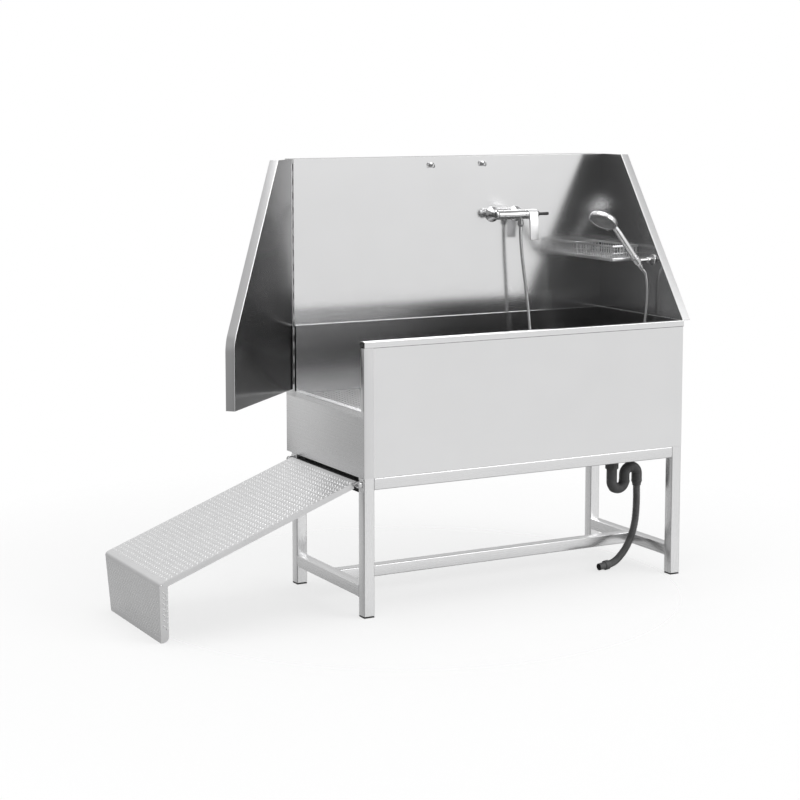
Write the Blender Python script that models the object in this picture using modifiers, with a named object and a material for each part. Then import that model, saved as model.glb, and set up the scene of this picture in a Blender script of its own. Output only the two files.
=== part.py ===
"""A stainless steel dog grooming bath on a welded frame: a tub with a low end to step over, a swinging
side door, a hinged access ramp, a splash back with a mixer, a hand shower, a basket and leash eyes, and a
drain with a trap and a waste hose. Metres, +Z up. The object's origin is the middle of its footprint on
the floor. +X runs along the tub away from the ramp, and +Y runs towards the splash back.

Below, every size and place is given in the bath's own measures: X from the tub's left end, Y from the
apron's face and Z from the floor. One empty, bath_origin, then moves them all to the object's origin."""

import math

import bmesh
import bpy
from mathutils import Matrix, Vector

# ---- driving dimensions -------------------------------------------------------------------------------
TUB_LENGTH = 1.300
TUB_DEPTH = 0.600
FRAME_HEIGHT = 0.475
RIM_HEIGHT = 0.935
SPLASH_HEIGHT = 1.520
SHEET = 0.0015
SEAM = 0.0003  # gap between two pieces that touch

TUBE = 0.040
TUBE_WALL = 0.002
GLIDE_HEIGHT = 0.006
LOWER_RAIL_BASE = 0.067
BACK_OVERHANG = 0.040  # how far the tub stands out behind the back legs
LEFT_RAIL_DROP = 0.0112  # the left rail is lower, which leaves a slot above the ramp

RIM_FOLD_HEIGHT = 0.022
RIM_FOLD_DEPTH = 0.030
RIM_FOLD_OUT = 0.004
HEM_WIDTH = 0.036
RETURN_WIDTH = 0.020

SILL_HEIGHT = 0.700
SILL_DEPTH = 0.030
LEDGE = 0.010
HOUSING_DEPTH = 0.070  # the hollow behind the splash back that holds the pipes

FLOOR_PANEL_DROP = 0.008  # below the sill
FLOOR_PANEL_SHEET = 0.002
FLOOR_PANEL_FOLD = 0.015
FLOOR_PANEL_COUNT = 3
FLOOR_PANEL_GAP = 0.0012
SUPPORT_LEG = 0.025
SUPPORT_REACH = 0.040
SUPPORT_SHEET = 0.002
FLOOR_SLOT_LENGTH = 0.090
FLOOR_SLOT_WIDTH = 0.008
FLOOR_SLOT_ROWS = 3

SPLASH_TOP_WIDTH = 0.128
SPLASH_FLANGE = 0.030

DOOR_OPEN = math.radians(47)
DOOR_FRONT_GAP = 0.012  # from the door's free edge to the apron's face, when it is shut
DOOR_SILL_GAP = 0.0085
DOOR_FLANGE = 0.032
HINGE_PIN_RADIUS = 0.003
HINGE_KNUCKLE_RADIUS = 0.0055
HINGE_CLEARANCE = 0.0004
HINGE_AXIS_OUT = 0.0075  # from the tub's left end
HINGE_AXIS_BACK = 0.006  # behind the splash back's face
HINGE_LEAF_WIDTH = 0.034
HINGE_LEAF_SHEET = 0.002
HINGE_KNUCKLES = 5
HINGE_END_GAP = 0.0155  # from the door's ends to the hinge's
HINGE_PLAY = 0.0005

RAMP_SIDE_GAP = 0.030  # from the frame's sides to the ramp's
RAMP_SHEET = 0.003
RAMP_REACH = 0.716
RAMP_KNEE_HEIGHT = 0.200
RAMP_KNEE_RADIUS = 0.012
RAMP_FOOT_LEAN = 0.010
RAMP_FOOT_TAPER = 0.020
RAMP_SIDE_FOLD = 0.018
RAMP_FOOT_FOLD = 0.026
RAMP_FOOT_CORNER = 0.018
RAMP_ROD_RADIUS = 0.006
RAMP_ROD_CLEARANCE = 0.0005
RAMP_AXIS_OUT = 0.013
RAMP_AXIS_DROP = 0.020  # below the tub's base
LUG_THICKNESS = 0.006
LUG_RADIUS = 0.0105
LUG_INSET = 0.014  # from the frame's sides to the lugs

MIXER_X = 0.863
MIXER_SHARE = 0.62906  # of the way from the rim to the top of the splash back
MIXER_OFFSET = 0.060  # from the splash back to the mixer's axis
MIXER_BODY_LENGTH = 0.126
MIXER_BODY_RADIUS = 0.017
MIXER_UNION_SPACING = 0.101
MIXER_NECK_RADIUS = 0.011
MIXER_ROSETTE_RADIUS = 0.029
LEVER_LENGTH = 0.113
LEVER_WIDTH = 0.038
LEVER_HUB_WIDTH = 0.040
SPINDLE_RADIUS = 0.006
SIDE_HANDLE_LENGTH = 0.049
OUTLET_OFFSET = 0.037  # from the mixer's middle towards its lever
OUTLET_DROP = 0.027
OUTLET_RADIUS = 0.0095
UNION_NECK = 0.027
UNION_NUT = 0.013

HOSE_RADIUS = 0.0065
HOSE_NUT_LENGTH = 0.018

HANDSET_REACH = 0.085  # from the right panel's outer face to the grip
HANDSET_INSET = 0.0373  # behind the right panel's sloping edge
HANDSET_SHARE = 0.36752  # of the way from the rim to the top of the splash back
HANDSET_TILT = math.radians(38)
HANDSET_BELOW_CLIP = 0.036
HANDSET_NECK = 0.135
HANDSET_RADIUS = 0.0118
HEAD_RADIUS = 0.0525
HEAD_SHELL = 0.020
HEAD_DISTANCE = 0.2014
HEAD_OFFSET = 0.028  # how far the head sits in front of the grip's axis
HEAD_FACE_ANGLE = math.radians(109)
HEAD_FACE_TURN = math.radians(13)
SPRAY_RING = 0.006
TAB_ANGLE = math.radians(-24)
HOLDER_BELOW_CLIP = 0.012
HOLDER_HEIGHT = 0.022
HOLDER_WALL = 0.004

BASKET_DEPTH = 0.118
BASKET_LENGTH = 0.249
BASKET_HEIGHT = 0.058
BASKET_SHARE = 0.33504  # of the way from the rim to the top of the splash back
BASKET_WALL = 0.0025
BASKET_RIM = 0.008
BASKET_BARS_LONG = 15
BASKET_BARS_SHORT = 7
BASKET_BAR = 0.0035

EYE_PLACES = ((0.552, 0.031), (0.769, 0.029))  # along the splash back, and below its top
EYE_REACH = 0.029
EYE_RING = 0.0075
EYE_WIRE = 0.0022

DRAIN_INSET = 0.157  # from the right wall
DRAIN_Y = 0.197
DRAIN_FLANGE_RADIUS = 0.042
WASTE_PIPE_RADIUS = 0.0195
WASTE_PIPE_WALL = 0.003
TAIL_DROP = 0.0905  # these drops are below the tub's base
TRAP_LOW_DROP = 0.1505
TRAP_HIGH_DROP = 0.1305
TRAP_END_DROP = 0.153
TRAP_BEND = 0.028
SLIP_NUT_RADIUS = 0.0245
SLIP_NUT_HEIGHT = 0.024
LOCKNUT_RADIUS = 0.031
LOCKNUT_HEIGHT = 0.013
STRAINER_RADIUS = 0.034
STRAINER_SLOTS = 8
WASTE_HOSE_RADIUS = 0.014

# The shower hose from the mixer to the hand shower: points of one smooth curve, laid on the false floor.
SHOWER_HOSE_ROUTE = (
    (0.9000, 0.4700, 1.2577), (0.9003, 0.4699, 1.2200), (0.9060, 0.4665, 1.1400), (0.9170, 0.4600, 1.0400),
    (0.9270, 0.4540, 0.9400), (0.9330, 0.4500, 0.8500), (0.9340, 0.4440, 0.7850), (0.9280, 0.4220, 0.7330),
    (0.9160, 0.3830, 0.7065), (0.9070, 0.3350, 0.6994), (0.9060, 0.2800, 0.6992), (0.9200, 0.2180, 0.6992),
    (0.9520, 0.1620, 0.6992), (1.0040, 0.1260, 0.6992), (1.0660, 0.1280, 0.6992), (1.1120, 0.1680, 0.6992),
    (1.1310, 0.2280, 0.6992), (1.1340, 0.2680, 0.6992), (1.1360, 0.3060, 0.6992), (1.1443, 0.3370, 0.6992),
    (1.1670, 0.3597, 0.6992), (1.1980, 0.3680, 0.6996), (1.2290, 0.3597, 0.7030), (1.2517, 0.3370, 0.7110),
    (1.2600, 0.3060, 0.7260), (1.2640, 0.2460, 0.7850), (1.2670, 0.2090, 0.8500), (1.2700, 0.1900, 0.9300),
    (1.2725, 0.1855, 1.0000), (1.2700, 0.1850, 1.0550),
)
WASTE_HOSE_ROUTE = (
    (1.2450, 0.1970, 0.2997), (1.2453, 0.1969, 0.2800), (1.2455, 0.1965, 0.2500), (1.2430, 0.1950, 0.2100),
    (1.2360, 0.1920, 0.1650), (1.2230, 0.1890, 0.1250), (1.2040, 0.1850, 0.0900), (1.1800, 0.1810, 0.0600),
    (1.1530, 0.1780, 0.0370), (1.1280, 0.1750, 0.0240), (1.1050, 0.1720, 0.0198),
)
CUFF_LENGTH = 0.047
CUFF_RADIUS = 0.0175
CUFF_NOZZLE_RADIUS = 0.0125
CUFF_BORE_RADIUS = 0.0095

# ---- worked out from the above ------------------------------------------------------------------------
SPLASH_Y = TUB_DEPTH - HOUSING_DEPTH
BACK_LEG_Y = TUB_DEPTH - BACK_OVERHANG - TUBE
PAN_BASE = FRAME_HEIGHT + SEAM
PAN_TOP = PAN_BASE + SHEET
RIGHT_WALL_X = TUB_LENGTH - LEDGE
BACK_WALL_Y = SPLASH_Y - LEDGE + 0.002
FLOOR_PANEL_TOP = SILL_HEIGHT - FLOOR_PANEL_DROP
FRAME_BACK = BACK_LEG_Y + TUBE
RAMP_WIDTH = FRAME_BACK - 2 * RAMP_SIDE_GAP
RAMP_MIDDLE_Y = FRAME_BACK / 2
RAMP_AXIS = Vector((-RAMP_AXIS_OUT, 0.0, FRAME_HEIGHT - RAMP_AXIS_DROP))
DOOR_AXIS = Vector((-HINGE_AXIS_OUT, SPLASH_Y + HINGE_AXIS_BACK, 0.0))
DOOR_WIDTH = DOOR_AXIS.y - DOOR_FRONT_GAP
DOOR_BASE = SILL_HEIGHT + DOOR_SILL_GAP
HINGE_BASE = DOOR_BASE + HINGE_END_GAP
HINGE_TOP = SPLASH_HEIGHT - HINGE_END_GAP
MIXER_Y = SPLASH_Y - MIXER_OFFSET
SPLASH_RISE = SPLASH_HEIGHT - RIM_HEIGHT
MIXER_Z = RIM_HEIGHT + SPLASH_RISE * MIXER_SHARE
BASKET_BASE = RIM_HEIGHT + SPLASH_RISE * BASKET_SHARE
MIXER_END = MIXER_X + MIXER_BODY_LENGTH / 2
HANDSET_AXIS = Vector((-math.sin(HANDSET_TILT), 0.0, math.cos(HANDSET_TILT)))
HANDSET_CLIP = Vector((
    TUB_LENGTH - HANDSET_REACH,
    (SPLASH_Y - SPLASH_TOP_WIDTH) * HANDSET_SHARE + HANDSET_INSET,
    RIM_HEIGHT + SPLASH_RISE * HANDSET_SHARE,
))
DRAIN_X = RIGHT_WALL_X - DRAIN_INSET
TAIL_END = FRAME_HEIGHT - TAIL_DROP
TRAP_LOW = FRAME_HEIGHT - TRAP_LOW_DROP
TRAP_HIGH = FRAME_HEIGHT - TRAP_HIGH_DROP
TRAP_END = FRAME_HEIGHT - TRAP_END_DROP
FOOTPRINT_X = (TUB_LENGTH + SPLASH_FLANGE - RAMP_REACH) / 2
FOOTPRINT_Y = (TUB_DEPTH - RIM_FOLD_OUT) / 2

AXIS_X = Matrix.Rotation(math.pi / 2, 4, "Y")  # turns a Z axis to +X

PLAIN_STEEL = ((0.72, 0.72, 0.72), 0.35, 1.0)
CHROME = ((0.80, 0.80, 0.80), 0.12, 1.0)
CHEQUER = ((0.74, 0.74, 0.74), 0.42, 1.0)
GREY_PLASTIC = ((0.20, 0.20, 0.20), 0.55, 0.0)
BLACK_PLASTIC = ((0.03, 0.03, 0.03), 0.5, 0.0)
LIGHT_PLASTIC = ((0.45, 0.45, 0.45), 0.4, 0.0)


# ---- helpers ------------------------------------------------------------------------------------------
def clear_scene():
    for old in list(bpy.data.objects):
        bpy.data.objects.remove(old, do_unlink=True)


def new_collection(name):
    made = bpy.data.collections.new(name)
    bpy.context.scene.collection.children.link(made)
    return made


clear_scene()
PARTS = new_collection("dog_grooming_bath")
TOOLS = new_collection("cutters")


def new_empty(name, place, parent=None, turn=None):
    made = bpy.data.objects.new(name, None)
    made.location = place
    made.parent = parent
    if turn is not None:
        made.rotation_euler = turn.to_euler()
    PARTS.objects.link(made)
    return made


BATH = new_empty("bath_origin", (-FOOTPRINT_X, -FOOTPRINT_Y, 0.0))


def finish_mesh(name, shape, collection=TOOLS, parent=BATH):
    mesh = bpy.data.meshes.new(name)
    bmesh.ops.recalc_face_normals(shape, faces=shape.faces)
    shape.to_mesh(mesh)
    shape.free()
    made = bpy.data.objects.new(name, mesh)
    made.parent = parent
    collection.objects.link(made)
    made.hide_render = True
    made.display_type = "WIRE"
    return made


def box(low, high, parent=BATH):
    """A box between two corners."""
    low, high = Vector(low), Vector(high)
    shape = bmesh.new()
    place = Matrix.Translation((low + high) / 2) @ Matrix.Diagonal(Vector((*(high - low), 1.0)))
    bmesh.ops.create_cube(shape, size=1.0, matrix=place)
    return finish_mesh("box", shape, parent=parent)


def rod(start, end, radius, sides=24, parent=BATH, end_radius=None):
    """A cylinder, or a cone, from one point to another."""
    start, end = Vector(start), Vector(end)
    along = end - start
    turn = Vector((0, 0, 1)).rotation_difference(along).to_matrix().to_4x4()
    shape = bmesh.new()
    bmesh.ops.create_cone(
        shape, cap_ends=True, segments=sides, radius1=radius,
        radius2=radius if end_radius is None else end_radius, depth=along.length,
        matrix=Matrix.Translation((start + end) / 2) @ turn,
    )
    return finish_mesh("rod", shape, parent=parent)


def turned(profile, place=(0, 0, 0), axis=Matrix.Identity(4), sides=24, parent=BATH):
    """A closed outline of (radius, height) points spun about its axis."""
    shape = bmesh.new()
    points = [shape.verts.new((radius, 0.0, height)) for radius, height in profile]
    edges = [shape.edges.new((a, b)) for a, b in zip(points, points[1:])]
    if profile[0][0] > 0.0:
        edges.append(shape.edges.new((points[-1], points[0])))
    bmesh.ops.spin(
        shape, geom=points + edges, cent=(0, 0, 0), axis=(0, 0, 1), angle=math.tau,
        steps=sides, use_merge=True,
    )
    bmesh.ops.remove_doubles(shape, verts=shape.verts, dist=1e-6)
    bmesh.ops.transform(shape, matrix=Matrix.Translation(Vector(place)) @ axis, verts=shape.verts)
    return finish_mesh("turned", shape, parent=parent)


def plate(outline, across, low, high, parent=BATH):
    """A flat outline pushed out along one axis. Its points are the other two axes' values, in order."""
    def order(u, v, w):
        return (w, u, v) if across == "X" else (u, w, v)

    shape = bmesh.new()
    face = shape.faces.new([shape.verts.new(order(u, v, low)) for u, v in outline])
    grown = bmesh.ops.extrude_face_region(shape, geom=[face])
    moved = [item for item in grown["geom"] if isinstance(item, bmesh.types.BMVert)]
    bmesh.ops.translate(shape, verts=moved, vec=order(0.0, 0.0, high - low))
    return finish_mesh("plate", shape, parent=parent)


def folded(path, thickness, side=1):
    """The outline of a sheet folded along a path, with its thickness to the path's left, or right at -1."""
    path = [Vector(point) for point in path]
    offset = []
    for index, point in enumerate(path):
        normals = []
        for a, b in ((index - 1, index), (index, index + 1)):
            if a >= 0 and b < len(path):
                run = (path[b] - path[a]).normalized()
                normals.append(Vector((-run.y, run.x)) * side)
        mean = sum(normals, Vector((0, 0))).normalized()
        offset.append(point + mean * thickness / mean.dot(normals[0]))
    return [tuple(point) for point in path + offset[::-1]]


def smooth_route(points, spacing):
    """Evenly spaced points on one smooth curve through the given ones."""
    points = [Vector(point) for point in points]
    ends = [points[0] * 2 - points[1]] + points + [points[-1] * 2 - points[-2]]
    fine = []
    for a, b, c, d in zip(ends, ends[1:], ends[2:], ends[3:]):
        for step in range(24):
            t = step / 24
            fine.append(0.5 * (2 * b + (c - a) * t + (2 * a - 5 * b + 4 * c - d) * t * t
                               + (3 * b - a - 3 * c + d) * t ** 3))
    fine.append(points[-1])
    length = sum((b - a).length for a, b in zip(fine, fine[1:]))
    count = max(2, round(length / spacing))
    result, passed, target = [fine[0]], 0.0, length / count
    for a, b in zip(fine, fine[1:]):
        step = (b - a).length
        while passed + step >= target and len(result) < count:
            result.append(a.lerp(b, (target - passed) / step))
            target += length / count
        passed += step
    return result + [fine[-1]]


def pipe(points, radius, resolution=3, parent=BATH):
    """A round tube along a line of points, as a mesh whose caps are welded."""
    curve = bpy.data.curves.new("pipe", "CURVE")
    curve.dimensions = "3D"
    curve.bevel_depth = radius
    curve.bevel_resolution = resolution
    curve.use_fill_caps = True
    line = curve.splines.new("POLY")
    line.points.add(len(points) - 1)
    for spot, point in zip(line.points, points):
        spot.co = (*point, 1.0)
    guide = bpy.data.objects.new("pipe_guide", curve)
    TOOLS.objects.link(guide)
    evaluated = guide.evaluated_get(bpy.context.evaluated_depsgraph_get())
    mesh = bpy.data.meshes.new_from_object(evaluated)
    shape = bmesh.new()
    shape.from_mesh(mesh)
    bmesh.ops.remove_doubles(shape, verts=shape.verts, dist=1e-6)
    bpy.data.objects.remove(guide, do_unlink=True)
    return finish_mesh("pipe", shape, parent=parent)


def change(target, operation, tools):
    for tool in tools:
        step = target.modifiers.new(operation.lower(), "BOOLEAN")
        step.operation = operation
        step.solver = "EXACT"
        step.object = tool
    return target


def join(target, *tools):
    return change(target, "UNION", tools)


def cut(target, *tools):
    return change(target, "DIFFERENCE", tools)


def finish_of(name, look):
    colour, roughness, metallic = look
    material = bpy.data.materials.new(name)
    material.use_nodes = True
    shader = material.node_tree.nodes["Principled BSDF"]
    shader.inputs["Base Color"].default_value = (*colour, 1.0)
    shader.inputs["Roughness"].default_value = roughness
    shader.inputs["Metallic"].default_value = metallic
    return material


def node(name, shape, look, smooth=False):
    """Makes a shape one of the object's named pieces."""
    shape.name = name
    shape.data.name = name
    shape.data.materials.append(finish_of(name, look))
    if smooth:
        shape.data.shade_smooth()
        shape.data.set_sharp_from_angle(angle=math.radians(35))
    shape.hide_render = False
    shape.display_type = "TEXTURED"
    TOOLS.objects.unlink(shape)
    PARTS.objects.link(shape)
    return shape


# ---- the frame ----------------------------------------------------------------------------------------
def square_tube(low, high, along):
    """A 40 mm square tube, open at both ends."""
    inner_low, inner_high = Vector(low), Vector(high)
    for axis in range(3):
        grow = -0.01 if axis == "XYZ".index(along) else TUBE_WALL
        inner_low[axis] += grow
        inner_high[axis] -= grow
    return cut(box(low, high), box(inner_low, inner_high))


def make_legs():
    for side, x in (("left", 0.0), ("right", TUB_LENGTH - TUBE)):
        for end, y in (("front", 0.0), ("back", BACK_LEG_Y)):
            tube = square_tube((x, y, GLIDE_HEIGHT + SEAM), (x + TUBE, y + TUBE, FRAME_HEIGHT), "Z")
            node(f"leg_{end}_{side}", tube, PLAIN_STEEL)
            glide = box((x + 0.0005, y + 0.0005, 0.0), (x + TUBE - 0.0005, y + TUBE - 0.0005, GLIDE_HEIGHT))
            node(f"glide_{end}_{side}", glide, BLACK_PLASTIC)


def make_rails():
    inner_x = (TUBE + SEAM, TUB_LENGTH - TUBE - SEAM)
    inner_y = (TUBE + SEAM, BACK_LEG_Y - SEAM)
    top = FRAME_HEIGHT
    for name, y in (("front", 0.0), ("back", BACK_LEG_Y)):
        tube = square_tube((inner_x[0], y, top - TUBE), (inner_x[1], y + TUBE, top), "X")
        node(f"top_rail_{name}", tube, PLAIN_STEEL)
    for name, x, drop in (("left", 0.0, LEFT_RAIL_DROP), ("right", TUB_LENGTH - TUBE, 0.0)):
        tube = square_tube((x, inner_y[0], top - TUBE - drop), (x + TUBE, inner_y[1], top - drop), "Y")
        node(f"top_rail_{name}", tube, PLAIN_STEEL)
    low = LOWER_RAIL_BASE
    for name, x in (("left", 0.0), ("right", TUB_LENGTH - TUBE)):
        tube = square_tube((x, inner_y[0], low), (x + TUBE, inner_y[1], low + TUBE), "Y")
        node(f"lower_rail_{name}", tube, PLAIN_STEEL)
    middle = (BACK_LEG_Y + TUBE) / 2 - TUBE / 2
    tube = square_tube((inner_x[0], middle, low), (inner_x[1], middle + TUBE, low + TUBE), "X")
    node("lower_rail_middle", tube, PLAIN_STEEL)


# ---- the tub ------------------------------------------------------------------------------------------
def make_apron():
    fold_base = RIM_HEIGHT - RIM_FOLD_HEIGHT
    inside = RIM_FOLD_DEPTH - RIM_FOLD_OUT
    path = (
        (0.0, PAN_BASE), (0.0, fold_base), (-RIM_FOLD_OUT, fold_base), (-RIM_FOLD_OUT, RIM_HEIGHT),
        (inside, RIM_HEIGHT), (inside, fold_base),
    )
    apron = plate(folded(path, SHEET, -1), "X", 0.0, TUB_LENGTH)
    hem = box((0.0, -SHEET, PAN_BASE), (HEM_WIDTH, SHEET / 2, fold_base + SHEET / 2))
    strip = box((0.0, 0.0, SILL_HEIGHT + SEAM), (SHEET, RETURN_WIDTH, fold_base + SHEET / 2))
    cap = box((0.0, -RIM_FOLD_OUT, fold_base), (SHEET, inside, RIM_HEIGHT))
    node("tub_apron", join(apron, hem, strip, cap), PLAIN_STEEL)


def make_left_end():
    wall = box((0.0, SHEET + SEAM, PAN_BASE), (SHEET, TUB_DEPTH - SHEET - SEAM, SILL_HEIGHT))
    path = (
        (0.0, SILL_HEIGHT - 0.02), (0.0, SILL_HEIGHT), (SILL_DEPTH, SILL_HEIGHT),
        (SILL_DEPTH, SILL_HEIGHT - 0.012),
    )
    sill = plate(folded(path, SHEET, -1), "Y", SHEET + SEAM, BACK_WALL_Y - SEAM)
    node("tub_end_wall_left", join(wall, sill), PLAIN_STEEL)


def make_right_end():
    fold_base = RIM_HEIGHT - RIM_FOLD_HEIGHT
    front = RIM_FOLD_DEPTH - RIM_FOLD_OUT + SEAM
    wall = box(
        (RIGHT_WALL_X, SHEET + SEAM, PAN_BASE),
        (RIGHT_WALL_X + SHEET, BACK_WALL_Y - SEAM, fold_base - SEAM),
    )
    path = (
        (RIGHT_WALL_X, fold_base - 0.02), (RIGHT_WALL_X, RIM_HEIGHT), (TUB_LENGTH, RIM_HEIGHT),
        (TUB_LENGTH, fold_base),
    )
    ledge = plate(folded(path, SHEET, -1), "Y", front, BACK_WALL_Y - SEAM)
    node("tub_end_wall_right", join(wall, ledge), PLAIN_STEEL)


def make_back_wall():
    path = ((BACK_WALL_Y, PAN_BASE), (BACK_WALL_Y, RIM_HEIGHT), (SPLASH_Y - SEAM, RIM_HEIGHT))
    wall = plate(folded(path, SHEET, -1), "X", SHEET + SEAM, TUB_LENGTH - SEAM)
    node("tub_back_wall", wall, PLAIN_STEEL)


def make_pan():
    low = (SHEET + SEAM, SHEET + SEAM, PAN_BASE)
    pan = box(low, (RIGHT_WALL_X - SEAM, BACK_WALL_Y - SEAM, PAN_TOP))
    drain = Vector((DRAIN_X, DRAIN_Y, 0.0))
    low, high = Vector((0, 0, PAN_BASE - 0.01)), Vector((0, 0, PAN_TOP + 0.01))
    hole = rod(drain + low, drain + high, WASTE_PIPE_RADIUS + 0.0005)
    node("tub_floor_pan", cut(pan, hole), PLAIN_STEEL)


def make_false_floor():
    start = SILL_DEPTH + 0.002
    end = RIGHT_WALL_X - 0.002
    pitch = (end - start + FLOOR_PANEL_GAP) / FLOOR_PANEL_COUNT
    front = RIM_FOLD_DEPTH - RIM_FOLD_OUT + 0.0025
    back = BACK_WALL_Y - 0.0025
    fold_base = FLOOR_PANEL_TOP - FLOOR_PANEL_FOLD
    names = ("left", "middle", "right")
    for index in range(FLOOR_PANEL_COUNT):
        x0 = start + index * pitch
        x1 = x0 + pitch - FLOOR_PANEL_GAP
        path = ((x0, fold_base), (x0, FLOOR_PANEL_TOP), (x1, FLOOR_PANEL_TOP), (x1, fold_base))
        panel = plate(folded(path, FLOOR_PANEL_SHEET, -1), "Y", front, back)
        slots = []
        for column in range(FLOOR_SLOT_ROWS):
            for row in range(FLOOR_SLOT_ROWS):
                x = x0 + (x1 - x0) * (column + 0.5) / FLOOR_SLOT_ROWS
                y = front + (back - front) * (row + 0.5) / FLOOR_SLOT_ROWS
                slots.append(box(
                    (x - FLOOR_SLOT_LENGTH / 2, y - FLOOR_SLOT_WIDTH / 2, FLOOR_PANEL_TOP - 0.01),
                    (x + FLOOR_SLOT_LENGTH / 2, y + FLOOR_SLOT_WIDTH / 2, FLOOR_PANEL_TOP + 0.01),
                ))
        node(f"floor_panel_{names[index]}", cut(panel, *slots), PLAIN_STEEL)
    top = fold_base - SEAM
    wall = SHEET + SEAM
    path = ((wall, top - SUPPORT_LEG), (wall, top), (wall + SUPPORT_REACH, top))
    node("floor_support_front", plate(folded(path, SUPPORT_SHEET, -1), "X", start, end), PLAIN_STEEL)
    wall = BACK_WALL_Y - SEAM
    path = ((wall, top - SUPPORT_LEG), (wall, top), (wall - SUPPORT_REACH, top))
    node("floor_support_back", plate(folded(path, SUPPORT_SHEET, 1), "X", start, end), PLAIN_STEEL)


# ---- the splash back ----------------------------------------------------------------------------------
def make_splash_back():
    rear = TUB_DEPTH - SHEET
    path = ((SPLASH_Y, RIM_HEIGHT - 0.035), (SPLASH_Y, SPLASH_HEIGHT), (rear - SEAM, SPLASH_HEIGHT))
    node("splash_back_panel", plate(folded(path, SHEET, -1), "X", 0.0, TUB_LENGTH), PLAIN_STEEL)
    back = box((0.0, rear, PAN_BASE), (TUB_LENGTH, TUB_DEPTH, SPLASH_HEIGHT))
    node("housing_rear_panel", back, PLAIN_STEEL)
    front = SPLASH_Y + SHEET + SEAM
    top = SPLASH_HEIGHT - SHEET - SEAM
    left = box((0.0, front, SILL_HEIGHT + SEAM), (SHEET, rear - SEAM, top))
    node("housing_side_left", left, PLAIN_STEEL)
    right = box((TUB_LENGTH - SHEET, front, PAN_BASE), (TUB_LENGTH, rear - SEAM, top))
    node("housing_side_right", right, PLAIN_STEEL)


def make_right_splash():
    base = RIM_HEIGHT + SEAM
    back = SPLASH_Y - SEAM
    corner = SPLASH_Y - SPLASH_TOP_WIDTH
    outline = ((0.0, base), (back, base), (back, SPLASH_HEIGHT), (corner, SPLASH_HEIGHT))
    panel = plate(outline, "X", TUB_LENGTH - SHEET, TUB_LENGTH)
    flange_path = ((0.0, base), (corner, SPLASH_HEIGHT))
    flange = plate(folded(flange_path, SHEET, -1), "X", TUB_LENGTH - SHEET, TUB_LENGTH + SPLASH_FLANGE)
    slant_end = box((TUB_LENGTH - 0.01, -0.05, base - 0.05), (TUB_LENGTH + 0.1, SPLASH_Y + 0.07, base))
    slant_top = box(
        (TUB_LENGTH - 0.01, -0.05, SPLASH_HEIGHT),
        (TUB_LENGTH + 0.1, SPLASH_Y + 0.07, SPLASH_HEIGHT + 0.05),
    )
    node("splash_panel_right", cut(join(panel, flange), slant_end, slant_top), PLAIN_STEEL)


# ---- the door -----------------------------------------------------------------------------------------
def make_door():
    """Modelled shut, from its hinge towards -Y, under an empty on the pin that is turned open."""
    axis = new_empty("door_axis", DOOR_AXIS, BATH, Matrix.Rotation(-DOOR_OPEN, 3, "Z"))
    outer = HINGE_AXIS_OUT - 0.002 - SHEET
    start = HINGE_AXIS_BACK + 0.001
    outline = (
        (-DOOR_WIDTH, DOOR_BASE), (-start, DOOR_BASE), (-start, SPLASH_HEIGHT),
        (-SPLASH_TOP_WIDTH, SPLASH_HEIGHT), (-DOOR_WIDTH, RIM_HEIGHT),
    )
    leaf = plate(outline, "X", outer, outer + SHEET, axis)
    edge = ((-DOOR_WIDTH, DOOR_BASE), (-DOOR_WIDTH, RIM_HEIGHT), (-SPLASH_TOP_WIDTH, SPLASH_HEIGHT))
    flange = plate(folded(edge, SHEET, -1), "X", outer + SHEET - DOOR_FLANGE, outer + SHEET, axis)
    crown = box((-0.1, -1.0, SPLASH_HEIGHT), (0.1, 0.1, SPLASH_HEIGHT + 0.05), axis)
    node("door_leaf", cut(join(leaf, flange), crown), PLAIN_STEEL)

    length = (HINGE_TOP - HINGE_BASE) / HINGE_KNUCKLES
    clear = HINGE_KNUCKLE_RADIUS + 0.001
    plate_start = outer - HINGE_LEAF_SHEET - SEAM
    door_leaf = box(
        (plate_start, -start - HINGE_LEAF_WIDTH, HINGE_BASE), (outer - SEAM, -clear, HINGE_TOP), axis,
    )
    wall_x = HINGE_AXIS_OUT - SEAM
    fixed_leaf = box(
        DOOR_AXIS + Vector((wall_x - HINGE_LEAF_SHEET, clear, HINGE_BASE)),
        DOOR_AXIS + Vector((wall_x, HINGE_LEAF_WIDTH, HINGE_TOP)),
    )
    for index in range(HINGE_KNUCKLES):
        low = HINGE_BASE + index * length + HINGE_PLAY
        high = low + length - 2 * HINGE_PLAY
        if index % 2:
            barrel = rod((0, 0, low), (0, 0, high), HINGE_KNUCKLE_RADIUS, 16, axis)
            web = box((plate_start, -clear - 0.001, low), (outer - SEAM, 0.0, high), axis)
            join(door_leaf, web, barrel)
        else:
            low_end, high_end = DOOR_AXIS + Vector((0, 0, low)), DOOR_AXIS + Vector((0, 0, high))
            barrel = rod(low_end, high_end, HINGE_KNUCKLE_RADIUS, 16)
            web = box(
                DOOR_AXIS + Vector((wall_x - HINGE_LEAF_SHEET - 0.0025, 0.0, low)),
                DOOR_AXIS + Vector((wall_x, clear + 0.001, high)),
            )
            join(fixed_leaf, web, barrel)
    bore = HINGE_PIN_RADIUS + HINGE_CLEARANCE
    foot, head = Vector((0, 0, HINGE_BASE)), Vector((0, 0, HINGE_TOP))
    beyond = Vector((0, 0, 0.01))
    cut(door_leaf, rod(foot - beyond, head + beyond, bore, 16, axis))
    cut(fixed_leaf, rod(DOOR_AXIS + foot - beyond, DOOR_AXIS + head + beyond, bore, 16))
    node("door_hinge_moving_leaf", door_leaf, PLAIN_STEEL)
    node("door_hinge_fixed_leaf", fixed_leaf, PLAIN_STEEL)
    node("door_hinge_pin", rod(DOOR_AXIS + foot, DOOR_AXIS + head, HINGE_PIN_RADIUS, 16), PLAIN_STEEL)


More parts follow.
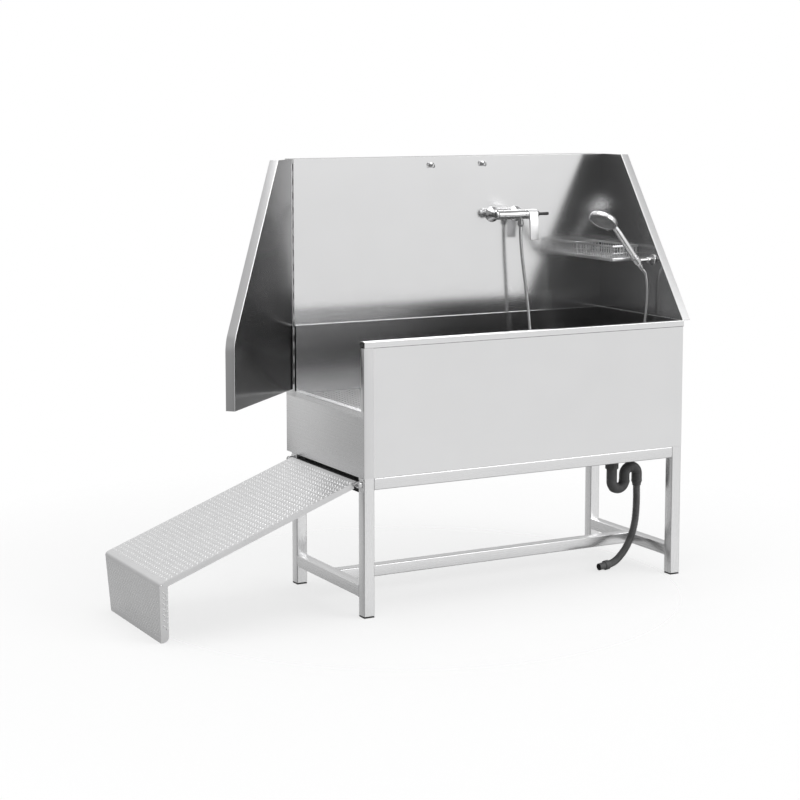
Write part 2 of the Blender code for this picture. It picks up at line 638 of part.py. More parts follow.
# ---- the ramp -----------------------------------------------------------------------------------------
def ramp_lines():
    """The middle line of the ramp's sheet about the rod's axis, from its curl round the rod to its foot."""
    curl = RAMP_ROD_RADIUS + RAMP_ROD_CLEARANCE + RAMP_SHEET / 2
    knee = Vector((
        -RAMP_REACH + RAMP_SHEET / 2 + RAMP_AXIS_OUT, RAMP_KNEE_HEIGHT - RAMP_AXIS.z - RAMP_SHEET / 2,
    ))
    slope = math.atan2(-knee.y, -knee.x) + math.asin(curl / knee.length)
    down = Vector((-math.cos(slope), -math.sin(slope)))
    lean = math.atan2(RAMP_FOOT_LEAN, RAMP_KNEE_HEIGHT)
    foot_way = Vector((math.sin(lean), -math.cos(lean)))
    foot = knee + foot_way * ((knee.y + RAMP_AXIS.z) / math.cos(lean) - RAMP_SHEET / 2 * math.tan(lean))
    line = []
    start, end = math.radians(-115), math.pi / 2 + slope
    for step in range(13):
        angle = start + (end - start) * step / 12
        line.append(Vector((math.cos(angle), math.sin(angle))) * curl)
    turn = (math.pi / 2 - lean - slope) / 2
    setback = RAMP_KNEE_RADIUS * math.tan(turn)
    before, after = knee - down * setback, knee + foot_way * setback
    centre = before + Vector((-down.y, down.x)) * RAMP_KNEE_RADIUS
    for step in range(7):
        way = (before - centre).lerp(after - centre, step / 6).normalized()
        line.append(centre + way * RAMP_KNEE_RADIUS)
    line.append(foot)
    return line, knee, foot, down, foot_way


def taper_foot(shape):
    """Draws the ramp's foot in towards the floor, evenly on both sides."""
    for vertex in shape.data.vertices:
        below = RAMP_KNEE_HEIGHT - (vertex.co.z + RAMP_AXIS.z)
        if below > 0:
            vertex.co.y *= 1 - RAMP_FOOT_TAPER * 2 / RAMP_WIDTH * below / RAMP_KNEE_HEIGHT
    return shape


def make_ramp():
    axis = new_empty("ramp_axis", RAMP_AXIS + Vector((0, RAMP_MIDDLE_Y, 0)), BATH)
    line, knee, foot, down, foot_way = ramp_lines()
    half = RAMP_WIDTH / 2
    shape = bmesh.new()
    rows = [[shape.verts.new((point.x, y, point.y)) for point in line] for y in (-half, half)]
    for index in range(len(line) - 1):
        shape.faces.new((rows[0][index], rows[0][index + 1], rows[1][index + 1], rows[1][index]))
    sheet = finish_mesh("ramp_sheet", shape, parent=axis)
    taper_foot(sheet)
    thick = sheet.modifiers.new("sheet", "SOLIDIFY")
    thick.thickness = RAMP_SHEET
    thick.offset = 0.0
    thick.use_even_offset = True
    under = Vector((-down.y, down.x))
    under = under if under.y < 0 else -under
    inward = Vector((-foot_way.y, foot_way.x))
    inward = inward if inward.x > 0 else -inward
    top, bottom = line[12] + down * 0.012, knee - down * 0.006
    edge = RAMP_SHEET * 0.3
    fold_over, fold_under = -under * edge, under * RAMP_SIDE_FOLD
    slope_fold = (top + fold_over, bottom + fold_over, bottom + fold_under, top + fold_under)
    high, low = knee + foot_way * 0.006, foot - foot_way * 0.0005
    corner = low + inward * (RAMP_FOOT_FOLD - RAMP_FOOT_CORNER) - foot_way * RAMP_FOOT_CORNER
    round_end = []
    for step in range(7):
        angle = math.pi / 2 * step / 6
        way = inward * math.sin(angle) + foot_way * math.cos(angle)
        round_end.append(corner + way * RAMP_FOOT_CORNER)
    foot_fold = (high - inward * edge, low - inward * edge, *round_end, high + inward * RAMP_FOOT_FOLD)
    for side in (-1, 1):
        near, far = sorted((side * half, side * (half - RAMP_SHEET)))
        for outline in (slope_fold, foot_fold):
            fold = taper_foot(plate([tuple(point) for point in outline], "Y", near, far, axis))
            join(sheet, fold)
    node("ramp_plate", sheet, CHEQUER)


def make_ramp_hinge():
    def on_axis(y):
        return RAMP_AXIS + Vector((0, y, 0))

    hinge_rod = rod(on_axis(0.004), on_axis(FRAME_BACK - 0.004), RAMP_ROD_RADIUS, 20)
    node("ramp_hinge_rod", hinge_rod, PLAIN_STEEL)
    for name, y, foot_low, foot_high in (
        ("front", LUG_INSET, 0.002, 0.028),
        ("back", FRAME_BACK - LUG_INSET - LUG_THICKNESS, FRAME_BACK - 0.028, FRAME_BACK - 0.002),
    ):
        foot = box((-0.0023, foot_low, RAMP_AXIS.z - 0.024), (-SEAM, foot_high, RAMP_AXIS.z + 0.015))
        ear = rod(on_axis(y), on_axis(y + LUG_THICKNESS), LUG_RADIUS, 20)
        web = box(
            (RAMP_AXIS.x, y, RAMP_AXIS.z - LUG_RADIUS),
            (-0.001, y + LUG_THICKNESS, RAMP_AXIS.z + LUG_RADIUS),
        )
        bore = rod(on_axis(y - 0.01), on_axis(y + 0.02), RAMP_ROD_RADIUS + SEAM, 20)
        node(f"ramp_lug_{name}", cut(join(foot, web, ear), bore), PLAIN_STEEL)


# ---- the mixer ----------------------------------------------------------------------------------------
def make_mixer():
    place = Vector((0.0, MIXER_Y, MIXER_Z))
    start, end = MIXER_X - MIXER_BODY_LENGTH / 2, MIXER_END
    radius = MIXER_BODY_RADIUS
    lever_end = end + SEAM + LEVER_HUB_WIDTH
    spindle_end = lever_end + 0.007
    body = turned((
        (0.0, start - 0.008), (radius - 0.004, start - 0.008), (radius - 0.0025, start),
        (radius - 0.001, start), (radius, start + 0.002), (radius, end - 0.001), (radius - 0.001, end),
        (SPINDLE_RADIUS, end), (SPINDLE_RADIUS, spindle_end), (0.0, spindle_end),
    ), place, AXIS_X)
    for side in (-1, 1):
        x = MIXER_X + side * MIXER_UNION_SPACING / 2
        join(body, rod((x, MIXER_Y, MIXER_Z), (x, MIXER_Y + UNION_NECK, MIXER_Z), MIXER_NECK_RADIUS, 20))
        name = "left" if side < 0 else "right"
        nut_start = MIXER_Y + UNION_NECK + SEAM
        nut = rod((x, nut_start, MIXER_Z), (x, nut_start + UNION_NUT, MIXER_Z), 0.0165, 6)
        rosette = rod(
            (x, nut_start + UNION_NUT - 0.001, MIXER_Z), (x, SPLASH_Y - SEAM, MIXER_Z), 0.016, 24,
            end_radius=MIXER_ROSETTE_RADIUS,
        )
        node(f"mixer_union_{name}", join(nut, rosette), CHROME)
    outlet_x = MIXER_X + OUTLET_OFFSET
    outlet = Vector((outlet_x, MIXER_Y, MIXER_Z))
    outlet_end = outlet - Vector((0, 0, OUTLET_DROP))
    join(body, rod(outlet, outlet_end + Vector((0, 0, SEAM)), OUTLET_RADIUS, 20))
    node("mixer_body", body, CHROME)
    nut_end = outlet_end - Vector((0, 0, HOSE_NUT_LENGTH))
    nut = rod(outlet_end, nut_end, OUTLET_RADIUS + 0.002, 20, end_radius=HOSE_RADIUS + 0.002)
    node("mixer_hose_nut", nut, CHROME)

    spin = new_empty("mixer_axis", (end + SEAM, MIXER_Y, MIXER_Z), BATH)
    bore = SPINDLE_RADIUS + SEAM
    hub_end = LEVER_HUB_WIDTH - SEAM
    hub_outline = ((bore, 0.0), (bore, hub_end), (radius + 0.001, hub_end), (radius + 0.001, 0.0))
    hub = turned(hub_outline, axis=AXIS_X, parent=spin)
    gap = (LEVER_HUB_WIDTH - LEVER_WIDTH) / 2
    face = -radius - 0.001
    outline = (
        (face + 0.006, 0.008), (face - 0.002, 0.008), (face - 0.006, -0.010),
        (face - 0.010, -LEVER_LENGTH + 0.018), (face - 0.006, -LEVER_LENGTH + 0.018),
        (face + 0.003, -0.012), (face + 0.006, -0.004),
    )
    node("mixer_lever", join(hub, plate(outline, "X", gap, gap + LEVER_WIDTH, spin)), CHROME)

    collar = 0.0055
    handle = turned((
        (bore, collar + 0.0025), (0.0, collar + 0.0025), (0.0, SIDE_HANDLE_LENGTH + 0.005),
        (0.0045, SIDE_HANDLE_LENGTH + 0.005), (0.0058, SIDE_HANDLE_LENGTH + 0.003),
        (0.0058, collar + 0.006), (0.011, collar + 0.004), (0.011, 0.0), (bore, 0.0),
    ), (lever_end - end, 0.0, 0.0), AXIS_X, parent=spin)
    node("mixer_side_handle", handle, BLACK_PLASTIC)


# ---- the hand shower ----------------------------------------------------------------------------------
def make_handset():
    """Modelled upright, about the middle of its grip, under an empty whose Z is the grip's axis."""
    turn = Matrix.Rotation(-HANDSET_TILT, 3, "Y")
    axis = new_empty("handset_axis", HANDSET_CLIP, BATH, turn)
    radius = HANDSET_RADIUS
    grip = turned((
        (0.0, -HANDSET_BELOW_CLIP), (radius - 0.003, -HANDSET_BELOW_CLIP),
        (radius - 0.002, -HANDSET_BELOW_CLIP + 0.004), (radius - 0.001, -0.026), (radius - 0.001, 0.002),
        (radius, 0.006), (radius, HANDSET_NECK - 0.02), (radius - 0.002, HANDSET_NECK),
        (radius - 0.002, HANDSET_NECK + 0.035), (0.0, HANDSET_NECK + 0.035),
    ), sides=20, parent=axis)
    face = Matrix.Rotation(math.pi + HEAD_FACE_TURN, 4, "Z") @ Matrix.Rotation(HEAD_FACE_ANGLE, 4, "Y")
    forward = Matrix.Rotation(HEAD_FACE_TURN, 4, "Z") @ Vector((-HEAD_OFFSET, 0.0, 0.0))
    centre = forward + Vector((0, 0, HEAD_DISTANCE))
    low, high = -HEAD_SHELL + 0.003, 0.003
    shell = turned((
        (0.0, low), (HEAD_RADIUS * 0.62, low), (HEAD_RADIUS * 0.88, low + 0.004),
        (HEAD_RADIUS, low + 0.010), (HEAD_RADIUS, high), (0.0, high),
    ), centre, face, 40, axis)
    node("shower_handset", join(grip, shell), CHROME)
    dial = new_empty("spray_axis", centre, axis, face.to_3x3())
    ring = turned((
        (0.0, high + SEAM), (HEAD_RADIUS, high + SEAM), (HEAD_RADIUS, high + SPRAY_RING - 0.002),
        (HEAD_RADIUS - 0.002, high + SPRAY_RING), (0.0, high + SPRAY_RING),
    ), sides=40, parent=dial)
    shape = bmesh.new()
    size = Matrix.Diagonal(Vector((0.014, 0.007, SPRAY_RING - SEAM, 1.0)))
    middle = Matrix.Translation((HEAD_RADIUS + 0.003, 0, high + SPRAY_RING / 2))
    bmesh.ops.create_cube(shape, size=1.0, matrix=Matrix.Rotation(TAB_ANGLE, 4, "Z") @ middle @ size)
    tab = finish_mesh("tab", shape, parent=dial)
    node("spray_face", join(ring, tab), LIGHT_PLASTIC)
    low = -HANDSET_BELOW_CLIP - SEAM
    nut = rod((0, 0, low), (0, 0, low - HOSE_NUT_LENGTH), 0.0088, 20, axis, 0.0072)
    node("handset_hose_nut", nut, CHROME)

    clip_low = -HOLDER_BELOW_CLIP - HOLDER_HEIGHT / 2
    seat = radius - 0.001 + SEAM
    clip = rod((0, 0, clip_low), (0, 0, clip_low + HOLDER_HEIGHT), seat + HOLDER_WALL, 24, axis)
    hole = rod((0, 0, clip_low - 0.01), (0, 0, clip_low + HOLDER_HEIGHT + 0.01), seat, 24, axis)
    arm_end = HANDSET_CLIP - HANDSET_AXIS * HOLDER_BELOW_CLIP
    wall = Vector((TUB_LENGTH - SHEET - SEAM, arm_end.y, arm_end.z))
    out = Vector((-1, 0, 0))
    arm = rod(arm_end, wall + out * 0.004, 0.0075, 20)
    rose = rod(wall + out * 0.008, wall, 0.021, 28)
    knob = rod(wall + out * 0.030, wall + out * 0.014, 0.011, 20)
    node("shower_holder", cut(join(clip, arm, knob, rose), hole), CHROME)


def make_shower_hose():
    nut_end = HANDSET_CLIP - HANDSET_AXIS * (HANDSET_BELOW_CLIP + SEAM + HOSE_NUT_LENGTH + SEAM)
    route = [*SHOWER_HOSE_ROUTE, tuple(nut_end - HANDSET_AXIS * 0.022), tuple(nut_end)]
    node("shower_hose", pipe(smooth_route(route, HOSE_RADIUS * 2 * 1.9), HOSE_RADIUS, 2), CHROME, True)


# ---- the basket and the leash eyes --------------------------------------------------------------------
def window_row(count, low, high, height_low, height_high, across, span):
    """Cutters for the openings between a row of bars, through both walls at once."""
    pitch = (high - low + BASKET_BAR) / count
    cutters = []
    for index in range(count):
        start = low + index * pitch
        end = start + pitch - BASKET_BAR
        if across == "X":
            cutters.append(box((span[0], start, height_low), (span[1], end, height_high)))
        else:
            cutters.append(box((start, span[0], height_low), (end, span[1], height_high)))
    return cutters


def make_basket():
    high = Vector((TUB_LENGTH - SHEET - SEAM, SPLASH_Y - SEAM, BASKET_BASE + BASKET_HEIGHT))
    low = Vector((high.x - BASKET_DEPTH, high.y - BASKET_LENGTH, BASKET_BASE))
    wall = Vector((BASKET_WALL, BASKET_WALL, BASKET_WALL))
    shell = cut(box(low, high), box(low + wall, high - Vector((BASKET_WALL, BASKET_WALL, -0.01))))
    z0, z1 = low.z + BASKET_RIM, high.z - BASKET_RIM
    edge = 0.006
    across_x, across_y = (low.x - 0.01, high.x + 0.01), (low.y - 0.01, high.y + 0.01)
    cutters = window_row(BASKET_BARS_LONG, low.y + edge, high.y - edge, z0, z1, "X", across_x)
    cutters += window_row(BASKET_BARS_SHORT, low.x + edge, high.x - edge, z0, z1, "Y", across_y)
    for index in range(BASKET_BARS_SHORT):
        pitch = (BASKET_DEPTH - 2 * edge + BASKET_BAR) / BASKET_BARS_SHORT
        start = low.x + edge + index * pitch
        cutters.append(box(
            (start, low.y + edge, low.z - 0.01), (start + pitch - BASKET_BAR, high.y - edge, low.z + 0.006),
        ))
    node("soap_basket", cut(shell, *cutters), CHROME)


def make_leash_eyes():
    for name, (x, drop) in zip(("left", "right"), EYE_PLACES):
        z = SPLASH_HEIGHT - drop
        wall = SPLASH_Y - SEAM
        flange = rod((x, wall - 0.003, z), (x, wall, z), 0.0095, 20)
        shank = rod((x, wall - EYE_REACH + 2 * EYE_RING, z), (x, wall - 0.001, z), 0.0036, 12)
        centre = Vector((x, wall - EYE_REACH + EYE_RING + EYE_WIRE, z))
        node(f"leash_eye_{name}", join(flange, shank, torus(centre, EYE_RING, EYE_WIRE)), CHROME)


def torus(centre, major, minor, steps=20, sides=10):
    """A ring whose hole runs along X."""
    shape = bmesh.new()
    side = Matrix.Translation((0, major, 0))
    circle = bmesh.ops.create_circle(shape, segments=sides, radius=minor, matrix=side)
    bmesh.ops.spin(
        shape, geom=circle["verts"] + list({edge for vert in circle["verts"] for edge in vert.link_edges}),
        cent=(0, 0, 0), axis=(1, 0, 0), angle=math.tau, steps=steps, use_merge=True,
    )
    bmesh.ops.remove_doubles(shape, verts=shape.verts, dist=1e-6)
    bmesh.ops.transform(shape, matrix=Matrix.Translation(centre), verts=shape.verts)
    return finish_mesh("torus", shape)


# ---- the drain ----------------------------------------------------------------------------------------
def trap_line(start, end):
    """The middle line of the trap: down from the drain, round its low bend, over its high one and down."""
    line = [Vector((DRAIN_X, DRAIN_Y, start))]
    for x, height, way in ((DRAIN_X, TRAP_LOW, -1), (DRAIN_X + TRAP_BEND * 2, TRAP_HIGH, 1)):
        for step in range(13):
            angle = math.pi * step / 12
            out, rise = 1 - math.cos(angle), way * math.sin(angle)
            line.append(Vector((x + TRAP_BEND * out, DRAIN_Y, height + TRAP_BEND * rise)))
    line.append(Vector((DRAIN_X + TRAP_BEND * 4, DRAIN_Y, end)))
    return line


def make_drain():
    place = (DRAIN_X, DRAIN_Y, 0.0)
    outer, inner = WASTE_PIPE_RADIUS, WASTE_PIPE_RADIUS - WASTE_PIPE_WALL
    seat = PAN_TOP + SEAM
    body = turned((
        (inner, TAIL_END), (inner, seat + 0.002), (DRAIN_FLANGE_RADIUS, seat + 0.002),
        (DRAIN_FLANGE_RADIUS, seat), (outer, seat), (outer, TAIL_END),
    ), place)
    node("drain_body", body, CHROME)
    top = seat + 0.002 + SEAM
    strainer = turned((
        (0.0, top), (STRAINER_RADIUS, top), (STRAINER_RADIUS, top + 0.002), (0.006, top + 0.003),
        (0.004, top + 0.012), (0.0, top + 0.012),
    ), place)
    slots = []
    for index in range(STRAINER_SLOTS):
        angle = math.tau * index / STRAINER_SLOTS
        spot = Matrix.Translation((DRAIN_X, DRAIN_Y, top)) @ Matrix.Rotation(angle, 4, "Z")
        shape = bmesh.new()
        size = Matrix.Diagonal(Vector((0.018, 0.005, 0.02, 1.0)))
        bmesh.ops.create_cube(shape, size=1.0, matrix=spot @ Matrix.Translation((0.019, 0, 0)) @ size)
        slots.append(finish_mesh("slot", shape))
    node("drain_strainer", cut(strainer, *slots), CHROME)
    low = PAN_BASE - SEAM
    nut_low = low - LOCKNUT_HEIGHT
    bore = outer + SEAM
    nut_outline = ((bore, nut_low), (bore, low), (LOCKNUT_RADIUS, low), (LOCKNUT_RADIUS, nut_low))
    locknut = turned(nut_outline, place)
    node("drain_locknut", locknut, GREY_PLASTIC)
    low, high = TAIL_END - SLIP_NUT_HEIGHT / 2, TAIL_END + SLIP_NUT_HEIGHT / 2
    slip = turned(((bore, low), (bore, high), (SLIP_NUT_RADIUS, high), (SLIP_NUT_RADIUS, low)), place)
    node("trap_slip_nut", slip, GREY_PLASTIC)

    trap = pipe(trap_line(TAIL_END - SEAM, TRAP_END), outer, 4)
    passage = pipe(trap_line(TAIL_END + 0.01, TRAP_END - 0.01), inner, 4)
    node("drain_trap", cut(trap, passage), GREY_PLASTIC)
    end = Vector((DRAIN_X + TRAP_BEND * 4, DRAIN_Y, 0.0))
    hose_start = WASTE_HOSE_ROUTE[0][2] + SEAM
    coupling = turned((
        (WASTE_HOSE_RADIUS - 0.0025, hose_start), (WASTE_HOSE_RADIUS - 0.0025, TRAP_END - SEAM),
        (outer + 0.0005, TRAP_END - SEAM), (outer + 0.0005, TRAP_END - 0.007),
        (WASTE_HOSE_RADIUS + 0.002, hose_start),
    ), end)
    node("trap_coupling", coupling, GREY_PLASTIC)


def make_waste_hose():
    route = smooth_route(WASTE_HOSE_ROUTE, WASTE_HOSE_RADIUS * 2)
    route[-2].z = route[-1].z + 0.0008
    node("waste_hose", pipe(route, WASTE_HOSE_RADIUS, 3), GREY_PLASTIC, True)
    way = (route[-1] - route[-2]).normalized()
    start = route[-1] + way * SEAM
    turn = Vector((0, 0, 1)).rotation_difference(way).to_matrix().to_4x4()
    wide = CUFF_LENGTH * 0.45
    cuff = turned((
        (CUFF_BORE_RADIUS, 0.0), (CUFF_RADIUS - 0.002, 0.0), (CUFF_RADIUS, 0.002),
        (CUFF_RADIUS, wide - 0.003), (CUFF_NOZZLE_RADIUS, wide),
        (CUFF_NOZZLE_RADIUS - 0.0005, CUFF_LENGTH), (CUFF_BORE_RADIUS, CUFF_LENGTH),
    ), start, turn, 20)
    node("waste_hose_cuff", cuff, GREY_PLASTIC)


make_legs()
make_rails()
make_apron()
make_left_end()
make_right_end()
make_back_wall()
make_pan()
make_false_floor()
make_splash_back()
make_right_splash()
make_door()
make_ramp()
make_ramp_hinge()
make_mixer()
make_handset()
make_shower_hose()
make_basket()
make_leash_eyes()
make_drain()
make_waste_hose()
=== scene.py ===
import math

import bmesh
import bpy
from mathutils import Matrix, Vector


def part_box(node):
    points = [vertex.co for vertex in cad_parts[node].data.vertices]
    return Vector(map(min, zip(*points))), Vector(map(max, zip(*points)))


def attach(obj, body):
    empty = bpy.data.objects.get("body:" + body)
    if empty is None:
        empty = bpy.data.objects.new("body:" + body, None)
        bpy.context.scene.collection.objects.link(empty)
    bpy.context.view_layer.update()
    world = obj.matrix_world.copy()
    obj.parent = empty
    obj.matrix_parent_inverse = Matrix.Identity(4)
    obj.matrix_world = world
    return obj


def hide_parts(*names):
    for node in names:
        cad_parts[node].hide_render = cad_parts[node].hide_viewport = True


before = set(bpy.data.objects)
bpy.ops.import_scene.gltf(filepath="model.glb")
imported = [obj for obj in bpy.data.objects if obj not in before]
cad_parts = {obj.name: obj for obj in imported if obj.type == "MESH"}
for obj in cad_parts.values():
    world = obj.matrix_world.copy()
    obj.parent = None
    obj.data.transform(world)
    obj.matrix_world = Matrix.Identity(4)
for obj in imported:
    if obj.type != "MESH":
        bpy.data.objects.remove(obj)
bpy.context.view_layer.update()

# ---- the bath's own measures, in metres ---------------------------------------------------------------
BATH_CORNER = Vector((-0.307, -0.298, 0.0))  # the tub's left end, the apron's face and the floor
SHEET = 0.0015
BEND = 0.0025
RIM_BEND = 0.0018
RIM_FOLD_HEIGHT = 0.022
RIM_FOLD_OUT = 0.004
HEM_WIDTH = 0.036
RETURN_WIDTH = 0.02
DOOR_OPEN = math.radians(47)
DOOR_FLANGE = 0.032
SPLASH_TOP_WIDTH = 0.128
RAMP_KNEE_HEIGHT = 0.2
RAMP_SHEET = 0.003
RAMP_CURL = 0.008
TREAD_PITCH = 0.019

HOSE_DIAMETER = 0.013
WASTE_DIAMETER = 0.028

FLAT = Matrix.Identity(4)
AXES = "XYZ"
TOUCH = 1e-6  # points closer than this are the same point
BEND_STEPS = 4

# The shower hose, down from the mixer, over the false floor and up to the hand shower.
SHOWER_HOSE_ROUTE = (
    (0.9, 0.47, 1.2577), (0.9003, 0.4699, 1.22), (0.906, 0.4665, 1.14), (0.917, 0.46, 1.04),
    (0.927, 0.454, 0.94), (0.933, 0.45, 0.85), (0.934, 0.444, 0.785), (0.928, 0.422, 0.733),
    (0.916, 0.383, 0.7065), (0.907, 0.335, 0.6994), (0.906, 0.28, 0.6992), (0.92, 0.218, 0.6992),
    (0.952, 0.162, 0.6992), (1.004, 0.126, 0.6992), (1.066, 0.128, 0.6992), (1.112, 0.168, 0.6992),
    (1.131, 0.228, 0.6992), (1.134, 0.268, 0.6992), (1.136, 0.306, 0.6992), (1.1443, 0.337, 0.6992),
    (1.167, 0.3597, 0.6992), (1.198, 0.368, 0.6996), (1.229, 0.3597, 0.703), (1.2517, 0.337, 0.711),
    (1.26, 0.306, 0.726), (1.264, 0.246, 0.785), (1.267, 0.209, 0.85), (1.27, 0.19, 0.93),
    (1.2725, 0.1855, 1.0), (1.27, 0.185, 1.055), (1.26216, 0.18504, 1.08964), (1.24862, 0.18504, 1.10698),
)
# The waste hose, down from the trap and out over the floor.
WASTE_HOSE_ROUTE = (
    (1.245, 0.197, 0.2997), (1.2453, 0.1969, 0.28), (1.2455, 0.1965, 0.25), (1.243, 0.195, 0.21),
    (1.236, 0.192, 0.165), (1.223, 0.189, 0.125), (1.204, 0.185, 0.09), (1.18, 0.181, 0.06),
    (1.153, 0.178, 0.037), (1.128, 0.175, 0.024), (1.105, 0.172, 0.0198),
)

CAMERA_PLACE = (-3.231, -5.932, 1.754)
CAMERA_TURN = 28.51
CAMERA_PITCH = 6.7
CAMERA_LENS = 87.46
CAMERA_SHIFT = -0.1


def at(x, y, z):
    """A place given in the bath's own measures."""
    return BATH_CORNER + Vector((x, y, z))


# ---- the camera ---------------------------------------------------------------------------------------
bpy.ops.object.select_all(action="DESELECT")
bpy.ops.object.camera_add(
    location=CAMERA_PLACE, rotation=(math.radians(90 - CAMERA_PITCH), 0.0, math.radians(-CAMERA_TURN)),
)
camera = bpy.context.object
camera.data.lens = CAMERA_LENS
camera.data.shift_y = CAMERA_SHIFT
bpy.context.scene.camera = camera


# ---- effects shared by the finishes -------------------------------------------------------------------
class Net:
    """A node tree with short ways to add and link its nodes."""

    def __init__(self, tree):
        self.tree = tree

    def add(self, kind, **settings):
        made = self.tree.nodes.new(kind)
        for name, value in settings.items():
            setattr(made, name, value)
        return made

    def join(self, source, target):
        self.tree.links.new(source, target)

    def give(self, socket, value):
        """Links a node's output to the socket, or sets a plain value on it."""
        if isinstance(value, bpy.types.NodeSocket):
            self.join(value, socket)
        else:
            socket.default_value = value

    def feed(self, node, **values):
        for name, value in values.items():
            self.give(node.inputs[name.replace("_", " ")], value)
        return node

    def calc(self, kind, a, b):
        made = self.add("ShaderNodeMath", operation=kind)
        self.give(made.inputs[0], a)
        self.give(made.inputs[1], b)
        return made.outputs[0]

    def spread(self, value, low, high, to_low=0.0, to_high=1.0):
        made = self.add("ShaderNodeMapRange")
        return self.feed(
            made, Value=value, From_Min=low, From_Max=high, To_Min=to_low, To_Max=to_high,
        ).outputs[0]

    def blend(self, share, a, b):
        made = self.add("ShaderNodeMix", data_type="RGBA")
        for number, value in ((0, share), (6, a), (7, b)):
            self.give(made.inputs[number], value)
        return made.outputs[2]

    def noise(self, place, **values):
        return self.feed(self.add("ShaderNodeTexNoise"), Vector=place, **values).outputs[0]

    def place(self, kind="Object"):
        return self.add("ShaderNodeTexCoord").outputs[kind]


def effect(name, inputs, outputs):
    tree = bpy.data.node_groups.new(name, "ShaderNodeTree")
    for label, kind, value in inputs:
        tree.interface.new_socket(label, in_out="INPUT", socket_type=kind).default_value = value
    for label, kind in outputs:
        tree.interface.new_socket(label, in_out="OUTPUT", socket_type=kind)
    net = Net(tree)
    return net, net.add("NodeGroupInput").outputs, net.add("NodeGroupOutput").inputs


def make_brushed_grain():
    """Fine scratches drawn out along one way of the sheet."""
    net, given, result = effect(
        "brushed grain",
        (("Stretch", "NodeSocketVector", (6.0, 6.0, 900.0)), ("Depth", "NodeSocketFloat", 0.1)),
        (("Grain", "NodeSocketFloat"), ("Normal", "NodeSocketVector")),
    )
    drawn = net.add("ShaderNodeVectorMath", operation="MULTIPLY")
    net.join(net.place(), drawn.inputs[0])
    net.join(given["Stretch"], drawn.inputs[1])
    grain = net.noise(drawn.outputs[0], Scale=1.0, Detail=4.0, Roughness=0.65)
    bump = net.feed(net.add("ShaderNodeBump"), Strength=given["Depth"], Distance=0.0004, Height=grain)
    net.join(grain, result["Grain"])
    net.join(bump.outputs[0], result["Normal"])
    return net.tree


def make_handling():
    """Soft clouds and a few wipe marks that handling leaves on a surface."""
    net, given, result = effect(
        "handling", (("Size", "NodeSocketFloat", 5.0),),
        (("Cloud", "NodeSocketFloat"), ("Wipe", "NodeSocketFloat")),
    )
    place = net.place()
    cloud = net.noise(place, Scale=given["Size"], Detail=3.0, Roughness=0.55)
    swirl = net.noise(place, Scale=net.calc("MULTIPLY", given["Size"], 2.6), Detail=5.0, Distortion=1.6)
    net.join(net.spread(cloud, 0.35, 0.68), result["Cloud"])
    net.join(net.spread(swirl, 0.56, 0.72), result["Wipe"])
    return net.tree


def make_edge_wear():
    """Where a surface turns sharply, broken up by fine noise."""
    net, given, result = effect(
        "edge wear", (("Radius", "NodeSocketFloat", 0.002),), (("Edge", "NodeSocketFloat"),),
    )
    rounded = net.feed(net.add("ShaderNodeBevel", samples=4), Radius=given["Radius"])
    true_normal = net.add("ShaderNodeNewGeometry").outputs["Normal"]
    facing = net.add("ShaderNodeVectorMath", operation="DOT_PRODUCT")
    net.join(rounded.outputs[0], facing.inputs[0])
    net.join(true_normal, facing.inputs[1])
    turned_away = net.spread(facing.outputs["Value"], 0.995, 0.86)
    share = net.spread(net.noise(net.place(), Scale=140.0, Detail=2.0), 0.35, 0.6, 0.45, 1.0)
    net.join(net.calc("MULTIPLY", turned_away, share), result["Edge"])
    return net.tree


GRAIN = make_brushed_grain()
HANDLING = make_handling()
EDGE_WEAR = make_edge_wear()


def placed(net, tree, **values):
    made = net.add("ShaderNodeGroup", node_tree=tree)
    return net.feed(made, **values).outputs


def grey(tone):
    return (tone, tone, tone * 1.005, 1.0)


GRAIN_RELIEF = 0.25
GRAIN_GLOSS = 0.02
WIPE_GLOSS = 0.006


def new_finish(name):
    material = bpy.data.materials.new(name)
    material.use_nodes = True
    net = Net(material.node_tree)
    return material, net, material.node_tree.nodes["Principled BSDF"]


def metal(name, tone, roughness, stretch, depth=0.1, cloud=0.1, edge=0.25, size=5.0):
    """A bare metal: brushed grain, clouded by handling, and brighter where its edges are worn."""
    material, net, shader = new_finish(name)
    grain = placed(net, GRAIN, Stretch=stretch, Depth=depth * GRAIN_RELIEF)
    marks = placed(net, HANDLING, Size=size)
    wear = placed(net, EDGE_WEAR, Radius=0.0018)
    colour = net.blend(net.spread(grain["Grain"], 0.3, 0.7), grey(tone * 0.98), grey(tone * 1.02))
    colour = net.blend(net.calc("MULTIPLY", marks["Cloud"], cloud), colour, grey(tone * 0.62))
    colour = net.blend(net.calc("MULTIPLY", wear["Edge"], edge), colour, grey(min(0.97, tone * 1.5)))
    rough = net.spread(grain["Grain"], 0.3, 0.7, roughness - GRAIN_GLOSS, roughness + GRAIN_GLOSS)
    rough = net.calc("ADD", rough, net.calc("MULTIPLY", marks["Wipe"], WIPE_GLOSS))
    shader.inputs["Metallic"].default_value = 1.0
    net.feed(shader, Base_Color=colour, Roughness=rough, Normal=grain["Normal"])
    return material


